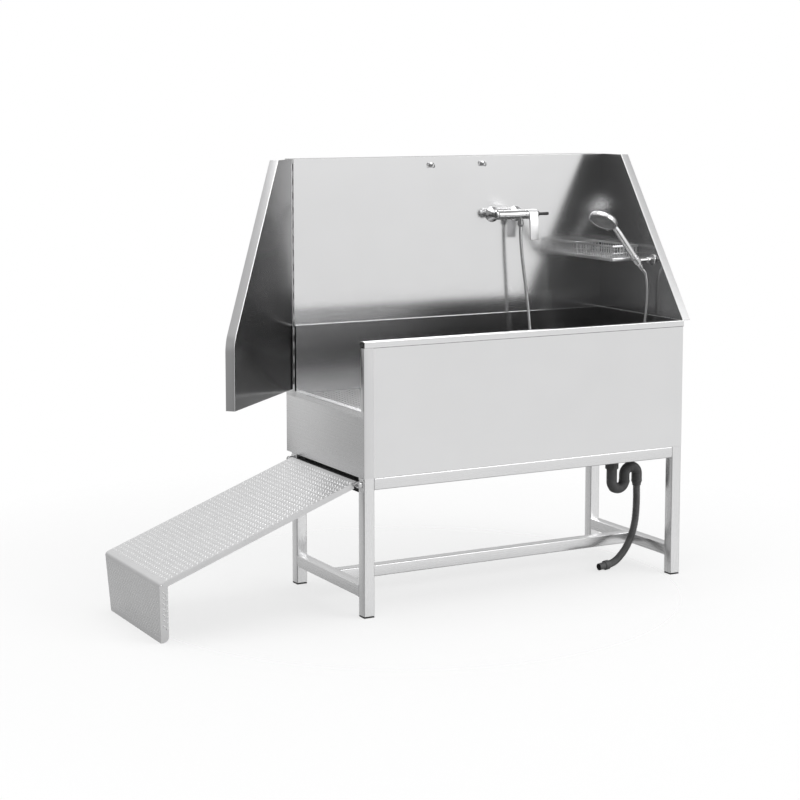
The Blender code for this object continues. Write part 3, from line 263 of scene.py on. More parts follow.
def plastic(name, tone, roughness):
    """Moulded plastic: a fine skin, mottled colour and rubbed edges."""
    material, net, shader = new_finish(name)
    skin = net.noise(net.place(), Scale=1680.0, Detail=2.0)
    mottle = net.noise(net.place(), Scale=30.0, Detail=4.0)
    wear = placed(net, EDGE_WEAR, Radius=0.0012)
    marks = placed(net, HANDLING, Size=14.0)
    colour = net.blend(net.spread(mottle, 0.35, 0.65), grey(tone * 0.85), grey(tone * 1.15))
    colour = net.blend(net.calc("MULTIPLY", wear["Edge"], 0.35), colour, grey(tone * 1.9 + 0.02))
    bump = net.feed(net.add("ShaderNodeBump"), Strength=0.08, Distance=0.0003, Height=skin)
    rough = net.calc("ADD", roughness, net.calc("MULTIPLY", marks["Cloud"], 0.14))
    net.feed(shader, Base_Color=colour, Roughness=rough, Normal=bump.outputs[0])
    return material


ALONG_X = (2.0, 900.0, 2400.0)
ALONG_Y = (900.0, 2.0, 2400.0)
ALONG_Z = (500.0, 500.0, 5.0)
SHEET_STEEL = metal("brushed sheet steel", 0.86, 0.15, ALONG_X, 0.1, 0.05)
END_STEEL = metal("brushed end sheet", 0.84, 0.28, ALONG_Y, 0.012, 0.05)
# The side panels' steel is given a darker tone than the apron's: painted shade for the dark room they
# reflect.
PAINTED_SHADE_PANEL_STEEL = metal("brushed panel sheet, painted shade", 0.48, 0.16, ALONG_Y, 0.04, 0.06)
# The tub's inner steel, darker than the apron's: painted shade inside the tub.
PAINTED_SHADE_TUB_STEEL = metal("brushed tub sheet, painted shade", 0.42, 0.2, ALONG_X, 0.05)
# Lighter steel: painted highlight on the side panels' folds that face the light, also used for the apron's
# hem.
LIT_FOLD_AND_HEM_STEEL = metal("painted lit fold and hem", 0.78, 0.3, ALONG_Z, 0.06, 0.05)
TUBE_STEEL = metal("satin frame tube", 0.86, 0.26, ALONG_Z, 0.08, 0.06)
RAIL_STEEL = metal("satin frame rail", 0.84, 0.27, ALONG_X, 0.08, 0.06)
CROSS_STEEL = metal("satin cross rail", 0.84, 0.27, ALONG_Y, 0.08, 0.06)
# Near-black steel for the left top rail: painted shadow for the dark gap under the tub's left end.
PAINTED_SHADOW_RAIL_STEEL = metal("painted shadow rail steel", 0.03, 0.6, ALONG_Y, 0.05, 0.1, 0.0)
FLOOR_STEEL = metal("perforated floor steel", 0.4, 0.34, ALONG_X, 0.08, 0.15)
TREAD_PLATE = metal("rolled tread plate", 0.74, 0.34, (60.0, 60.0, 60.0), 0.14, 0.1, 0.2, 9.0)
TREAD_LUG = metal("rubbed tread lugs", 0.93, 0.27, (90.0, 90.0, 90.0), 0.08, 0.04, 0.3, 12.0)
SATIN_CHROME = metal("satin chrome", 0.86, 0.24, (60.0, 60.0, 60.0), 0.02, 0.05, 0.1, 30.0)
CHROME = metal("polished chrome", 0.62, 0.1, (40.0, 40.0, 40.0), 0.02, 0.06, 0.1, 30.0)
WIRE_CHROME = metal("chromed wire", 0.9, 0.34, (60.0, 60.0, 60.0), 0.03, 0.05, 0.15, 40.0)
HOSE_CHROME = metal("wound hose chrome", 0.6, 0.2, (200.0, 200.0, 200.0), 0.04, 0.1, 0.2, 30.0)
WASTE_GREY = plastic("moulded waste grey", 0.125, 0.42)
HOSE_GREY = plastic("ribbed hose grey", 0.165, 0.46)
GLIDE_BLACK = plastic("moulded black", 0.018, 0.42)
SPRAY_GREY = plastic("satin spray face", 0.46, 0.34)
NOZZLE_GREY = plastic("soft nozzle rubber", 0.34, 0.6)


# ---- ways to shape a piece ----------------------------------------------------------------------------
def deselect():
    bpy.ops.object.select_all(action="DESELECT")


def activate(piece):
    deselect()
    bpy.context.view_layer.objects.active = piece
    piece.select_set(True)


def open_mesh(piece):
    activate(piece)
    bpy.ops.object.mode_set(mode="EDIT")


def close_mesh():
    bpy.ops.object.mode_set(mode="OBJECT")


def pick_all():
    bpy.ops.mesh.select_all(action="SELECT")


def close_outward():
    """Leaves edit mode with every face turned outward."""
    pick_all()
    bpy.ops.mesh.normals_make_consistent(inside=False)
    close_mesh()


def round_off(width, segments, affect="EDGES"):
    bpy.ops.mesh.bevel(offset=width, segments=segments, affect=affect)


def pull(step):
    bpy.ops.mesh.extrude_region_move(TRANSFORM_OT_translate={"value": step})


def pull_edges(step=(0, 0, 0)):
    bpy.ops.mesh.extrude_edges_move(TRANSFORM_OT_translate={"value": step})


def pick(piece, kind, wanted):
    """Selects the vertices, edges or faces that pass a test, in edit mode."""
    modes = {"verts": "VERT", "edges": "EDGE", "faces": "FACE"}
    bpy.ops.mesh.select_mode(type=modes[kind])
    bpy.ops.mesh.select_all(action="DESELECT")
    shape = bmesh.from_edit_mesh(piece.data)
    for item in list(getattr(shape, kind)):
        if wanted(item):
            item.select_set(True)
    shape.select_flush_mode()
    bmesh.update_edit_mesh(piece.data)


def apply_step(piece, kind, **settings):
    step = piece.modifiers.new(kind.lower(), kind)
    for name, value in settings.items():
        setattr(step, name, value)
    activate(piece)
    bpy.ops.object.modifier_apply(modifier=step.name)


def settle(piece, place=FLAT):
    """Puts the piece at its place and leaves that place in its mesh."""
    piece.matrix_world = place @ piece.matrix_world
    activate(piece)
    bpy.ops.object.transform_apply(location=True, rotation=True, scale=True)
    return piece


def corners(node):
    """The low and high corners of a node's box."""
    low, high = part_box(node)
    return Vector(low), Vector(high)


def finish_piece(piece, name, material, body, node=None, smooth=35.0):
    """Names, dresses and smooths a finished piece. node is the plain one whose place it takes."""
    piece.name = name
    piece.data.name = name
    piece.data.materials.clear()
    piece.data.materials.append(material)
    activate(piece)
    bpy.ops.object.shade_smooth_by_angle(angle=math.radians(smooth))
    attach(piece, body)
    if node:
        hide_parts(node)


def block(low, high, round_edges=0.0, segments=3, keep=None):
    """A bar between two corners, its edges rounded. keep names the axis whose edges alone are rounded."""
    low, high = Vector(low), Vector(high)
    deselect()
    bpy.ops.mesh.primitive_cube_add(size=1.0, location=(low + high) / 2, scale=high - low)
    piece = bpy.context.object
    settle(piece)
    if round_edges:
        open_mesh(piece)

        def wanted(edge):
            way = edge.verts[0].co - edge.verts[1].co
            return keep is None or abs(way[AXES.index(keep)]) > TOUCH

        pick(piece, "edges", wanted)
        round_off(round_edges, segments)
        close_mesh()
    return piece


def turned(profile, place=FLAT, steps=40):
    """An outline of (radius, height) points drawn out one after another and spun about its axis."""
    deselect()
    bpy.ops.mesh.primitive_plane_add(size=0.001)
    piece = bpy.context.object
    open_mesh(piece)
    bpy.ops.mesh.select_mode(type="VERT")
    pick_all()
    bpy.ops.mesh.merge(type="CENTER")
    bpy.ops.transform.translate(value=(profile[0][0], 0.0, profile[0][1]))
    for (r0, z0), (r1, z1) in zip(profile, profile[1:]):
        pull((r1 - r0, 0.0, z1 - z0))
    pick_all()
    bpy.ops.mesh.spin(steps=steps, angle=math.tau, center=(0, 0, 0), axis=(0, 0, 1))
    pick_all()
    bpy.ops.mesh.remove_doubles(threshold=0.00001)
    close_outward()
    return settle(piece, place)


def pointing(start, way):
    """The place of a shape whose Z runs from a point along a way."""
    turn = Vector((0, 0, 1)).rotation_difference(Vector(way)).to_matrix().to_4x4()
    return Matrix.Translation(Vector(start)) @ turn


def rod(start, end, radius, sides):
    start, end = Vector(start), Vector(end)
    deselect()
    bpy.ops.mesh.primitive_cylinder_add(vertices=sides, radius=radius, depth=(end - start).length)
    return settle(bpy.context.object, pointing((start + end) / 2, end - start))


def merged(pieces):
    """Several shapes as one piece."""
    deselect()
    for piece in pieces:
        piece.select_set(True)
    bpy.context.view_layer.objects.active = pieces[0]
    bpy.ops.object.join()
    return pieces[0]


def row(piece, count, step):
    """Repeats a shape along a line."""
    apply_step(
        piece, "ARRAY", count=count, use_relative_offset=False, use_constant_offset=True,
        constant_offset_displace=Vector(step), use_merge_vertices=False,
    )
    return piece


def folded_sheet(path, along, span, facing, bend=BEND):
    """A sheet drawn out fold by fold, its folds rounded. facing is the first strip's outer side."""
    axis = AXES.index(along)

    def spot(u, v, w):
        values = [u, v]
        values.insert(axis, w)
        return Vector(values)

    deselect()
    bpy.ops.mesh.primitive_plane_add(size=1.0)
    piece = bpy.context.object
    ends = [(point, reach) for point in path[:2] for reach in span]
    for vertex, (point, reach) in zip(piece.data.vertices, ends):
        vertex.co = spot(*point, reach)
    open_mesh(piece)
    for index in range(1, len(path) - 1):
        end_line = spot(*path[index], 0.0)
        step = spot(*path[index + 1], 0.0) - end_line

        def at_end(edge):
            gaps = [(vertex.co - end_line) for vertex in edge.verts]
            for gap in gaps:
                gap[axis] = 0.0
            return all(gap.length < TOUCH for gap in gaps)

        pick(piece, "edges", at_end)
        pull(step)
    pick(piece, "edges", lambda edge: len(edge.link_faces) == 2)
    round_off(bend, BEND_STEPS)
    close_outward()
    thicken(piece, facing, spot(*path[0], span[0]))
    return piece


def thicken(piece, facing, near, thickness=SHEET):
    """Gives a sheet its thickness, behind the side that faces the given way nearest a point."""
    turn_outward(piece, facing, near)
    apply_step(piece, "SOLIDIFY", thickness=thickness, offset=-1.0, use_even_offset=True)


def turn_outward(piece, facing, near):
    """Flips the sheet if its face nearest a point doesn't face the given way."""
    face = min(piece.data.polygons, key=lambda item: (item.center - near).length)
    if face.normal.dot(Vector(facing)) < 0.0:
        open_mesh(piece)
        pick_all()
        bpy.ops.mesh.flip_normals()
        close_mesh()


def flanged_sheet(outline, folds, out, facing, corner=0.0):
    """A flat outline whose chosen sides are folded out. folds are the numbers of those sides, in order."""
    deselect()
    bpy.ops.mesh.primitive_circle_add(vertices=len(outline), fill_type="NGON")
    piece = bpy.context.object
    for vertex, spot in zip(piece.data.vertices, outline):
        vertex.co = spot
    sides = {frozenset((number, (number + 1) % len(outline))) for number in folds}
    open_mesh(piece)
    if corner:
        shape = bmesh.from_edit_mesh(piece.data)
        shape.verts.ensure_lookup_table()
        ends = [outline[folds[0]], outline[(folds[-1] + 1) % len(outline)]]
        inner = {vertex.index for vertex in shape.verts if any(vertex.index in side for side in sides)
                 and all((vertex.co - end).length > TOUCH for end in ends)}
        pick(piece, "verts", lambda vertex: vertex.index in inner)
        round_off(corner, 5, "VERTICES")
    lines = [(outline[number], outline[(number + 1) % len(outline)]) for number in folds]

    def on_fold(edge):
        middle = (edge.verts[0].co + edge.verts[1].co) / 2
        reach = corner * 1.1 + 1e-5
        for start, end in lines:
            way = (end - start).normalized()
            passed = (middle - start).dot(way)
            off = (middle - start - way * passed).length
            if off < 1e-5 and 0 < passed < (end - start).length:
                return True
        shared = [end for start, end in lines[:-1]]
        return any((middle - spot).length < reach for spot in shared)

    pick(piece, "edges", on_fold)
    kept = [tuple(vertex.co) for vertex in bmesh.from_edit_mesh(piece.data).verts if vertex.select]
    pull(out)

    def at_fold(edge):
        return len(edge.link_faces) == 2 and all(
            any((vertex.co - Vector(spot)).length < TOUCH for spot in kept) for vertex in edge.verts
        )

    pick(piece, "edges", at_fold)
    round_off(BEND, BEND_STEPS)
    close_outward()
    thicken(piece, facing, sum(outline, Vector()) / len(outline))
    return piece


# ---- hoses --------------------------------------------------------------------------------------------
def smooth_route(points, spacing):
    """Evenly spaced points on one smooth curve through the given ones."""
    ends = [points[0] * 2 - points[1]] + points + [points[-1] * 2 - points[-2]]
    fine = []
    for a, b, c, d in zip(ends, ends[1:], ends[2:], ends[3:]):
        for step in range(24):
            t = step / 24
            fine.append(0.5 * (2 * b + (c - a) * t + (2 * a - 5 * b + 4 * c - d) * t * t
                               + (3 * b - a - 3 * c + d) * t ** 3))
    fine.append(points[-1])
    length = sum((b - a).length for a, b in zip(fine, fine[1:]))
    count = max(2, round(length / spacing))
    result, passed, target = [fine[0]], 0.0, length / count
    for a, b in zip(fine, fine[1:]):
        step = (b - a).length
        while passed + step >= target and len(result) < count:
            result.append(a.lerp(b, (target - passed) / step))
            target += length / count
        passed += step
    return result + [fine[-1]], length


def tube_along(name, route, radius_at, sides):
    """A closed round tube along a route. radius_at gives its radius at each point's number."""
    shape = bmesh.new()
    way = (route[1] - route[0]).normalized()
    side = way.orthogonal().normalized()
    rings = []
    for number, point in enumerate(route):
        before, after = route[max(number - 1, 0)], route[min(number + 1, len(route) - 1)]
        turned_way = (after - before).normalized()
        side = way.rotation_difference(turned_way) @ side
        way = turned_way
        up = way.cross(side)
        radius = radius_at(number)
        ring = []
        for step in range(sides):
            angle = math.tau * step / sides
            ring.append(shape.verts.new(point + (side * math.cos(angle) + up * math.sin(angle)) * radius))
        rings.append(ring)
    for low, high in zip(rings, rings[1:]):
        for a in range(sides):
            b = (a + 1) % sides
            shape.faces.new((low[a], low[b], high[b], high[a]))
    shape.faces.new(rings[0][::-1])
    shape.faces.new(rings[-1])
    bmesh.ops.recalc_face_normals(shape, faces=shape.faces)
    mesh = bpy.data.meshes.new(name)
    shape.to_mesh(mesh)
    shape.free()
    piece = bpy.data.objects.new(name, mesh)
    bpy.context.scene.collection.objects.link(piece)
    return piece


def ribbed_hose(name, points, diameter, pitch, depths, sides):
    """A hose whose ribs repeat along it. depths are one rib's steps below the full size."""
    route, length = smooth_route([at(*point) for point in points], pitch / len(depths))
    hose = tube_along(name, route, lambda number: diameter / 2 - depths[number % len(depths)], sides)
    return hose, route, length


def make_shower_hose():
    depths = (0.0, 0.0, 0.00085, 0.00085)
    hose, route, length = ribbed_hose(
        "wound_shower_hose", SHOWER_HOSE_ROUTE, HOSE_DIAMETER, 0.0034, depths, 12,
    )
    finish_piece(hose, "wound_shower_hose", HOSE_CHROME, "bath", "shower_hose", 50)


def make_waste_hose():
    depths = (0.0, 0.0002, 0.0011, 0.0019, 0.0019, 0.0009)
    hose, route, length = ribbed_hose(
        "ribbed_waste_hose", WASTE_HOSE_ROUTE, WASTE_DIAMETER, 0.0056, depths, 22,
    )
    finish_piece(hose, "ribbed_waste_hose", HOSE_GREY, "bath", "waste_hose", 60)
    way = (route[-1] - route[-30]).normalized()
    way.z = min(way.z, 0.0) * 0.3
    cuff = turned((
        (0.0105, 0.044), (0.012, 0.047), (0.0128, 0.0465), (0.0132, 0.022), (0.0172, 0.0185),
        (0.0175, 0.017), (0.0175, 0.0135), (0.0168, 0.013), (0.0168, 0.0105), (0.0175, 0.01),
        (0.0175, 0.002), (0.016, 0.0002), (0.0, 0.0002), (0.0, 0.012), (0.0098, 0.012), (0.0105, 0.044),
    ), pointing(route[-1] + way.normalized() * 0.0002, way), 32)
    finish_piece(cuff, "hose_end_cuff", WASTE_GREY, "bath", "waste_hose_cuff")


make_shower_hose()
make_waste_hose()


# ---- the frame's tubes --------------------------------------------------------------------------------
TUBE_CORNER = 0.0032


def make_tubes():
    """Square tube with its long corners rolled, one piece for each leg and rail."""
    for material, way, names in (
        (TUBE_STEEL, "Z", ("leg_front_left", "leg_front_right", "leg_back_left", "leg_back_right")),
        (RAIL_STEEL, "X", ("top_rail_front", "top_rail_back", "lower_rail_middle")),
        (CROSS_STEEL, "Y", ("top_rail_right",)),
        # The left top rail is painted near black, a painted shadow for the gap beneath the tub.
        (PAINTED_SHADOW_RAIL_STEEL, "Y", ("top_rail_left",)),
        (CROSS_STEEL, "Y", ("lower_rail_left", "lower_rail_right")),
    ):
        for node in names:
            tube = block(*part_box(node), TUBE_CORNER, 4, keep=way)
            finish_piece(tube, f"rolled_{node}", material, "bath", node, 40)


def make_feet():
    """A plastic insert with a stepped foot under each leg."""
    step, rise, gap = Vector((0.0025, 0.0025, 0.0)), Vector((0, 0, 0.003)), Vector((0, 0, 0.0018))
    for end in ("front_left", "front_right", "back_left", "back_right"):
        low, high = corners(f"glide_{end}")
        foot = block(low, high - gap, 0.0012, 3)
        neck = block(low + step + rise, high - step, 0.0006, 2)
        finish_piece(merged([foot, neck]), f"foot_insert_{end}", GLIDE_BLACK, "bath",
                     f"glide_{end}")


# ---- the tub's folded sheets --------------------------------------------------------------------------
def make_apron():
    low, high = corners("tub_apron")
    face = low.y + RIM_FOLD_OUT
    under = high.z - RIM_FOLD_HEIGHT
    sheet = folded_sheet(
        ((face, low.z), (face, under), (low.y, under), (low.y, high.z), (high.y, high.z), (high.y, under)),
        "X", (low.x, high.x), (0, -1, 0), RIM_BEND,
    )
    end_cap = block((low.x, low.y, under), (low.x + SHEET, high.y, high.z), RIM_BEND, BEND_STEPS, keep="X")
    apron = merged([sheet, end_cap])
    finish_piece(apron, "folded_apron", SHEET_STEEL, "bath", "tub_apron")
    hem_end = (low.x + HEM_WIDTH, face - 0.0001, under)
    hem = block((low.x, face - SHEET, low.z), hem_end, 0.0007, 3, keep="Z")
    sill_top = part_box("tub_end_wall_left")[1][2]
    edge_end = (low.x + SHEET, face + RETURN_WIDTH, under)
    edge = block((low.x, face - 0.0005, sill_top + 0.0003), edge_end, 0.0005, 2)
    finish_piece(merged([hem, edge]), "apron_hem", LIT_FOLD_AND_HEM_STEEL, "bath")


def make_end_sill():
    """The low end the dog steps over: its wall, rounded sill and a flat strip where the sill meets the back
    wall.
    """
    low, high = corners("tub_end_wall_left")
    back_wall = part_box("tub_back_wall")[0][1]
    sill = folded_sheet(
        ((low.x, high.z - 0.02), (low.x, high.z), (high.x, high.z), (high.x, high.z - 0.012)),
        "Y", (low.y, back_wall - 0.0003), (-1, 0, 0),
    )
    wall = block((low.x, low.y, low.z), (low.x + SHEET, high.y, high.z - 0.0201), 0.0004, 2)
    rear = block((low.x, back_wall, high.z - 0.0202), (low.x + SHEET, high.y, high.z), 0.0004, 2)
    finish_piece(merged([wall, sill, rear]), "end_wall_with_sill", END_STEEL, "bath",
                 "tub_end_wall_left")


def make_right_panel():
    low, high = corners("splash_panel_right")
    outline = [Vector((low.x, y, z)) for y, z in (
        (low.y, low.z), (high.y, low.z), (high.y, high.z), (high.y - SPLASH_TOP_WIDTH, high.z),
    )]
    panel = flanged_sheet(outline, (3,), Vector((high.x - low.x, 0, 0)), (-1, 0, 0))
    # The panel takes the darkened steel, painted shade.
    finish_piece(panel, "right_splash_panel", PAINTED_SHADE_PANEL_STEEL, "bath", "splash_panel_right")
    # Its fold facing the light takes the lighter steel: painted highlight.
    paint_lit_fold(panel, fold_faces(panel))


def fold_faces(piece):
    """The numbers of the faces on the folded edge that slopes down to the front, towards the light."""
    slope = Vector((0, -1, 0.6))
    return [face.index for face in piece.data.polygons
            if abs(face.normal.x) < 0.9 and face.normal.dot(slope) > 0.5]


def paint_lit_fold(piece, faces):
    """Gives a folded edge a lighter steel where it faces the light: painted highlight."""
    piece.data.materials.append(LIT_FOLD_AND_HEM_STEEL)
    for number in faces:
        piece.data.polygons[number].material_index = 1


HINGE_LINE = at(-0.0075, 0.536, 0.0)
HINGE_SHUT = Matrix.Translation(HINGE_LINE)
HINGE_OPEN = HINGE_SHUT @ Matrix.Rotation(-DOOR_OPEN, 4, "Z")


def make_door():
    """Shaped shut, then turned open about its hinge."""
    (_, _, base), (_, _, top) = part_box("door_leaf")
    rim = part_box("tub_apron")[1][2]
    face, width, gap = 0.0055, 0.524, 0.007
    outline = [Vector((face, y, z)) for y, z in (
        (-width, base), (-gap, base), (-gap, top), (-SPLASH_TOP_WIDTH, top), (-width, rim),
    )]
    leaf = flanged_sheet(outline, (3, 4), Vector((-DOOR_FLANGE, 0, 0)), (1, 0, 0), corner=0.03)
    folded = fold_faces(leaf)
    settle(leaf, HINGE_OPEN)
    # The door takes the darkened steel, painted shade.
    finish_piece(leaf, "swinging_side_panel", PAINTED_SHADE_PANEL_STEEL, "door", "door_leaf")
    # Its fold facing the light takes the lighter steel: painted highlight.
    paint_lit_fold(leaf, folded)


def make_piano_hinge():
    """A long hinge: knuckles by turns on the door and the bath, leaves, a pin and countersunk screws."""
    (_, _, low_z), (_, _, high_z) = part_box("door_hinge_pin")
    count = 31
    pitch = (high_z - low_z) / count

    def knuckles(first):
        barrel = turned((
            (0.0034, 0.0004), (0.005, 0.0004), (0.0055, 0.0009), (0.0055, pitch - 0.0009),
            (0.005, pitch - 0.0004), (0.0034, pitch - 0.0004), (0.0034, 0.0004),
        ), Matrix.Translation((0, 0, low_z + first * pitch)), 20)
        return row(barrel, (count - first + 1) // 2, (0, 0, pitch * 2))

    def leaf(x_low, x_high, y_low, y_high, web_low, web_high):
        plate = block((x_low, y_low, low_z), (x_high, y_high, high_z), 0.0004, 2)
        web = block((x_low, web_low, low_z + 0.0004), (x_high, web_high, low_z + pitch - 0.0004))
        return plate, web

    def screws(x, y, way):
        head = turned((
            (0.0, 0.0), (0.0042, 0.0), (0.0042, 0.0003), (0.003, 0.0007), (0.0012, 0.0009),
            (0.0012, 0.0004), (0.0, 0.0004),
        ), pointing((x, y, low_z + 0.03), way), 20)
        return row(head, 9, (0, 0, (high_z - low_z - 0.06) / 8))

    plate, web = leaf(0.0017, 0.0037, -0.041, -0.0065, -0.007, -0.001)
    web = row(settle(web, Matrix.Translation((0, 0, pitch))), count // 2, (0, 0, pitch * 2))
    moving = merged([knuckles(1), plate, web, screws(0.0017, -0.026, (-1, 0, 0))])
    settle(moving, HINGE_OPEN)
    finish_piece(moving, "door_hinge_knuckles", TUBE_STEEL, "door", "door_hinge_moving_leaf")
    plate, web = leaf(0.0052, 0.0072, 0.0065, 0.034, 0.001, 0.007)
    web = row(web, count // 2 + 1, (0, 0, pitch * 2))
    fixed = merged([knuckles(0), plate, web, screws(0.0052, 0.024, (-1, 0, 0))])
    settle(fixed, HINGE_SHUT)
    finish_piece(fixed, "bath_hinge_knuckles", TUBE_STEEL, "bath", "door_hinge_fixed_leaf")
    pin = turned((
        (0.0, low_z - 0.0008), (0.0026, low_z - 0.0008), (0.003, low_z), (0.003, high_z),
        (0.0026, high_z + 0.0008), (0.0, high_z + 0.0008),
    ), HINGE_SHUT, 20)
    finish_piece(pin, "door_hinge_pin_rod", CHROME, "bath", "door_hinge_pin")


# ---- the ramp's tread ---------------------------------------------------------------------------------
RAMP_HALF_WIDTH = 0.25
LUG_HEIGHT = 0.0012
LUG_SINK = 0.0002
FOOT_TAPER = math.atan2(0.02, RAMP_KNEE_HEIGHT)


def make_tread():
    """Small crossed lugs rolled into the ramp's plate, on its slope, its foot and the foot's front fold."""
    axis = at(-0.013, 0.28, 0.455)
    knee = Vector((-0.7015, 0.0, RAMP_KNEE_HEIGHT - axis.z - RAMP_SHEET / 2))
    slope = math.atan2(-knee.z, -knee.x) + math.asin(RAMP_CURL / knee.length)
    down = Vector((-math.cos(slope), 0.0, -math.sin(slope)))
    normal = Vector((-math.sin(slope), 0.0, math.cos(slope)))
    foot_top = at(-0.7164, 0.28, 0.1908)
    lean = math.atan2(0.0103, 0.1908)
    foot_way = Vector((math.sin(lean), 0.0, -math.cos(lean)))
    foot_normal = Vector((-math.cos(lean), 0.0, -math.sin(lean)))

    def lug(turn, x, y, height):
        deselect()
        bpy.ops.mesh.primitive_cylinder_add(vertices=8, radius=0.5, depth=1.0)
        piece = bpy.context.object
        open_mesh(piece)
        pick(piece, "faces", lambda face: face.normal.z > 0.9)
        bpy.ops.transform.resize(value=(0.62, 0.45, 1.0))
        close_mesh()
        place = Matrix.Translation((x, y, height / 2 - LUG_SINK))
        place = place @ Matrix.Rotation(math.radians(turn), 4, "Z")
        return settle(piece, place @ Matrix.Diagonal(Vector((0.0125, 0.0048, height, 1.0))))

    def field(columns, rows, height, place):
        pair = merged([lug(45, 0.0, 0.0, height), lug(-45, TREAD_PITCH / 2, TREAD_PITCH / 2, height)])
        row(pair, columns, (TREAD_PITCH, 0, 0))
        row(pair, rows, (0, TREAD_PITCH, 0))
        return settle(pair, place)

    def frame_of(origin, x_way, z_way, rows=0.5):
        """A place with its X and Z ways given, moved back by half the width of its rows."""
        y_way = z_way.cross(x_way)
        turn = Matrix((x_way, y_way, z_way)).transposed().to_4x4()
        return Matrix.Translation(origin - y_way * ((rows - 0.5) * TREAD_PITCH / 2)) @ turn

    start = axis + normal * (RAMP_CURL + RAMP_SHEET / 2) + down * 0.012
    slope_field = field(38, 26, LUG_HEIGHT, frame_of(start, down, normal, 26))
    foot_start = foot_top + foot_way * 0.01
    foot_field = field(9, 24, LUG_HEIGHT / 2, frame_of(foot_start, foot_way, foot_normal, 24))
    fold_normal = Vector((-math.sin(FOOT_TAPER) * lean, -1.0, -math.sin(FOOT_TAPER))).normalized()
    fold_way = (foot_way - fold_normal * foot_way.dot(fold_normal)).normalized()
    front = axis.y - RAMP_HALF_WIDTH
    fold_start = Vector((axis.x + knee.x + 0.012, front, RAMP_KNEE_HEIGHT - 0.03)) + fold_normal * 0.0001
    fold_start.y += math.tan(FOOT_TAPER) * 0.03
    fold_field = field(7, 1, LUG_HEIGHT / 2, frame_of(fold_start, fold_way, fold_normal))
    tread = merged([slope_field, foot_field, fold_field])
    finish_piece(tread, "rolled_tread_lugs", TREAD_LUG, "ramp", smooth=50)


# ---- the perforated false floor -----------------------------------------------------------------------
FLOOR_SHEET = 0.002


def make_floor_panels():
    """Lift-out panels with rows of drain holes, a plain border and two edges folded down."""
    across, deep, border, hole = 19, 22, 0.012, 0.0042
    for name, body in (("left", "floor_panel_left"), ("middle", "floor_panel_middle"), ("right", "bath")):
        low, high = corners(f"floor_panel_{name}")
        cell = Vector(((high.x - low.x - 2 * border) / across, (high.y - low.y - 2 * border) / deep))
        deselect()
        bpy.ops.mesh.primitive_circle_add(vertices=8, radius=hole)
        panel = bpy.context.object
        open_mesh(panel)
        pick_all()
        pull_edges()
        shape = bmesh.from_edit_mesh(panel.data)
        for vertex in shape.verts:
            if vertex.select:
                reach = max(abs(vertex.co.x), abs(vertex.co.y))
                vertex.co.x *= cell.x / 2 / reach
                vertex.co.y *= cell.y / 2 / reach
        bmesh.update_edit_mesh(panel.data)
        close_mesh()
        row(panel, across, (cell.x, 0, 0))
        row(panel, deep, (0, cell.y, 0))
        first = low.xy + Vector((border, border)) + cell / 2
        settle(panel, Matrix.Translation((first.x, first.y, high.z)))
        open_mesh(panel)
        pick_all()
        bpy.ops.mesh.remove_doubles(threshold=0.00002)
        inner_low, inner_high = low.xy + Vector((border, border)), high.xy - Vector((border, border))

        def on_rim(edge):
            middle = (edge.verts[0].co + edge.verts[1].co) / 2
            return (min(abs(middle.x - inner_low.x), abs(middle.x - inner_high.x)) < 1e-5
                    or min(abs(middle.y - inner_low.y), abs(middle.y - inner_high.y)) < 1e-5)

        pick(panel, "edges", on_rim)
        pull_edges()
        centre = (low.xy + high.xy) / 2
        full, inner = (high - low).xy, inner_high - inner_low
        bpy.ops.transform.resize(
            value=(full.x / inner.x, full.y / inner.y, 1.0), center_override=(centre.x, centre.y, high.z),
        )
        pick(panel, "edges", lambda edge: all(
            min(abs(vertex.co.x - low.x), abs(vertex.co.x - high.x)) < 1e-5 for vertex in edge.verts
        ))
        pull_edges((0, 0, low.z - high.z))
        close_outward()
        thicken(panel, (0, 0, 1), Vector((centre.x, centre.y, high.z)), FLOOR_SHEET)
        finish_piece(panel, f"perforated_panel_{name}", FLOOR_STEEL, body,
                     f"floor_panel_{name}", 30)


# ---- the basket ---------------------------------------------------------------------------------------
def make_basket():
    """A welded wire basket: flat bands at its rim, foot and middle, upright wires and a wire floor."""
    low, high = corners("soap_basket")
    wire = 0.0017
    parts = []

    for z, height, thick in (
        (high.z - 0.008, 0.008, 0.0028), (low.z, 0.011, 0.0028),
        ((low.z + high.z) / 2 - 0.0012, 0.0024, 0.0024),
    ):
        for a, b in (
            ((low.x, low.y), (high.x, low.y + thick)), ((low.x, high.y - thick), (high.x, high.y)),
            ((low.x, low.y), (low.x + thick, high.y)), ((high.x - thick, low.y), (high.x, high.y)),
        ):
            parts.append(block((*a, z), (*b, z + height), 0.0007, 2))
    inset, corner = 0.0022, 0.01
    long_count, short_count = 16, 8
    long_step = (0, (high.y - low.y - 2 * corner) / (long_count - 1), 0)
    short_step = ((high.x - low.x - 2 * corner) / (short_count - 1), 0, 0)
    foot, head = low.z + 0.003, high.z - 0.003
    for x in (low.x + inset, high.x - inset):
        upright = rod((x, low.y + corner, foot), (x, low.y + corner, head), wire, 10)
        parts.append(row(upright, long_count, long_step))
    for y in (low.y + inset, high.y - inset):
        upright = rod((low.x + corner, y, foot), (low.x + corner, y, head), wire, 10)
        parts.append(row(upright, short_count, short_step))
    start = low + Vector((corner, 0.002, 0.002))
    end = Vector((start.x, high.y - 0.002, start.z))
    parts.append(row(rod(start, end, wire, 10), short_count, short_step))
    for share in (0.25, 0.5, 0.75):
        y = low.y + (high.y - low.y) * share
        parts.append(rod((low.x + 0.002, y, low.z + 0.0042), (high.x - 0.002, y, low.z + 0.0042), wire, 10))
    finish_piece(merged(parts), "wire_basket", WIRE_CHROME, "bath", "soap_basket", smooth=40)


# ---- the mixer ----------------------------------------------------------------------------------------
MIXER_PLACE = at(0.863, 0.47, 1.303)
MIXER_HALF = 0.063
LEVER_START = MIXER_PLACE.x + MIXER_HALF + 0.0003


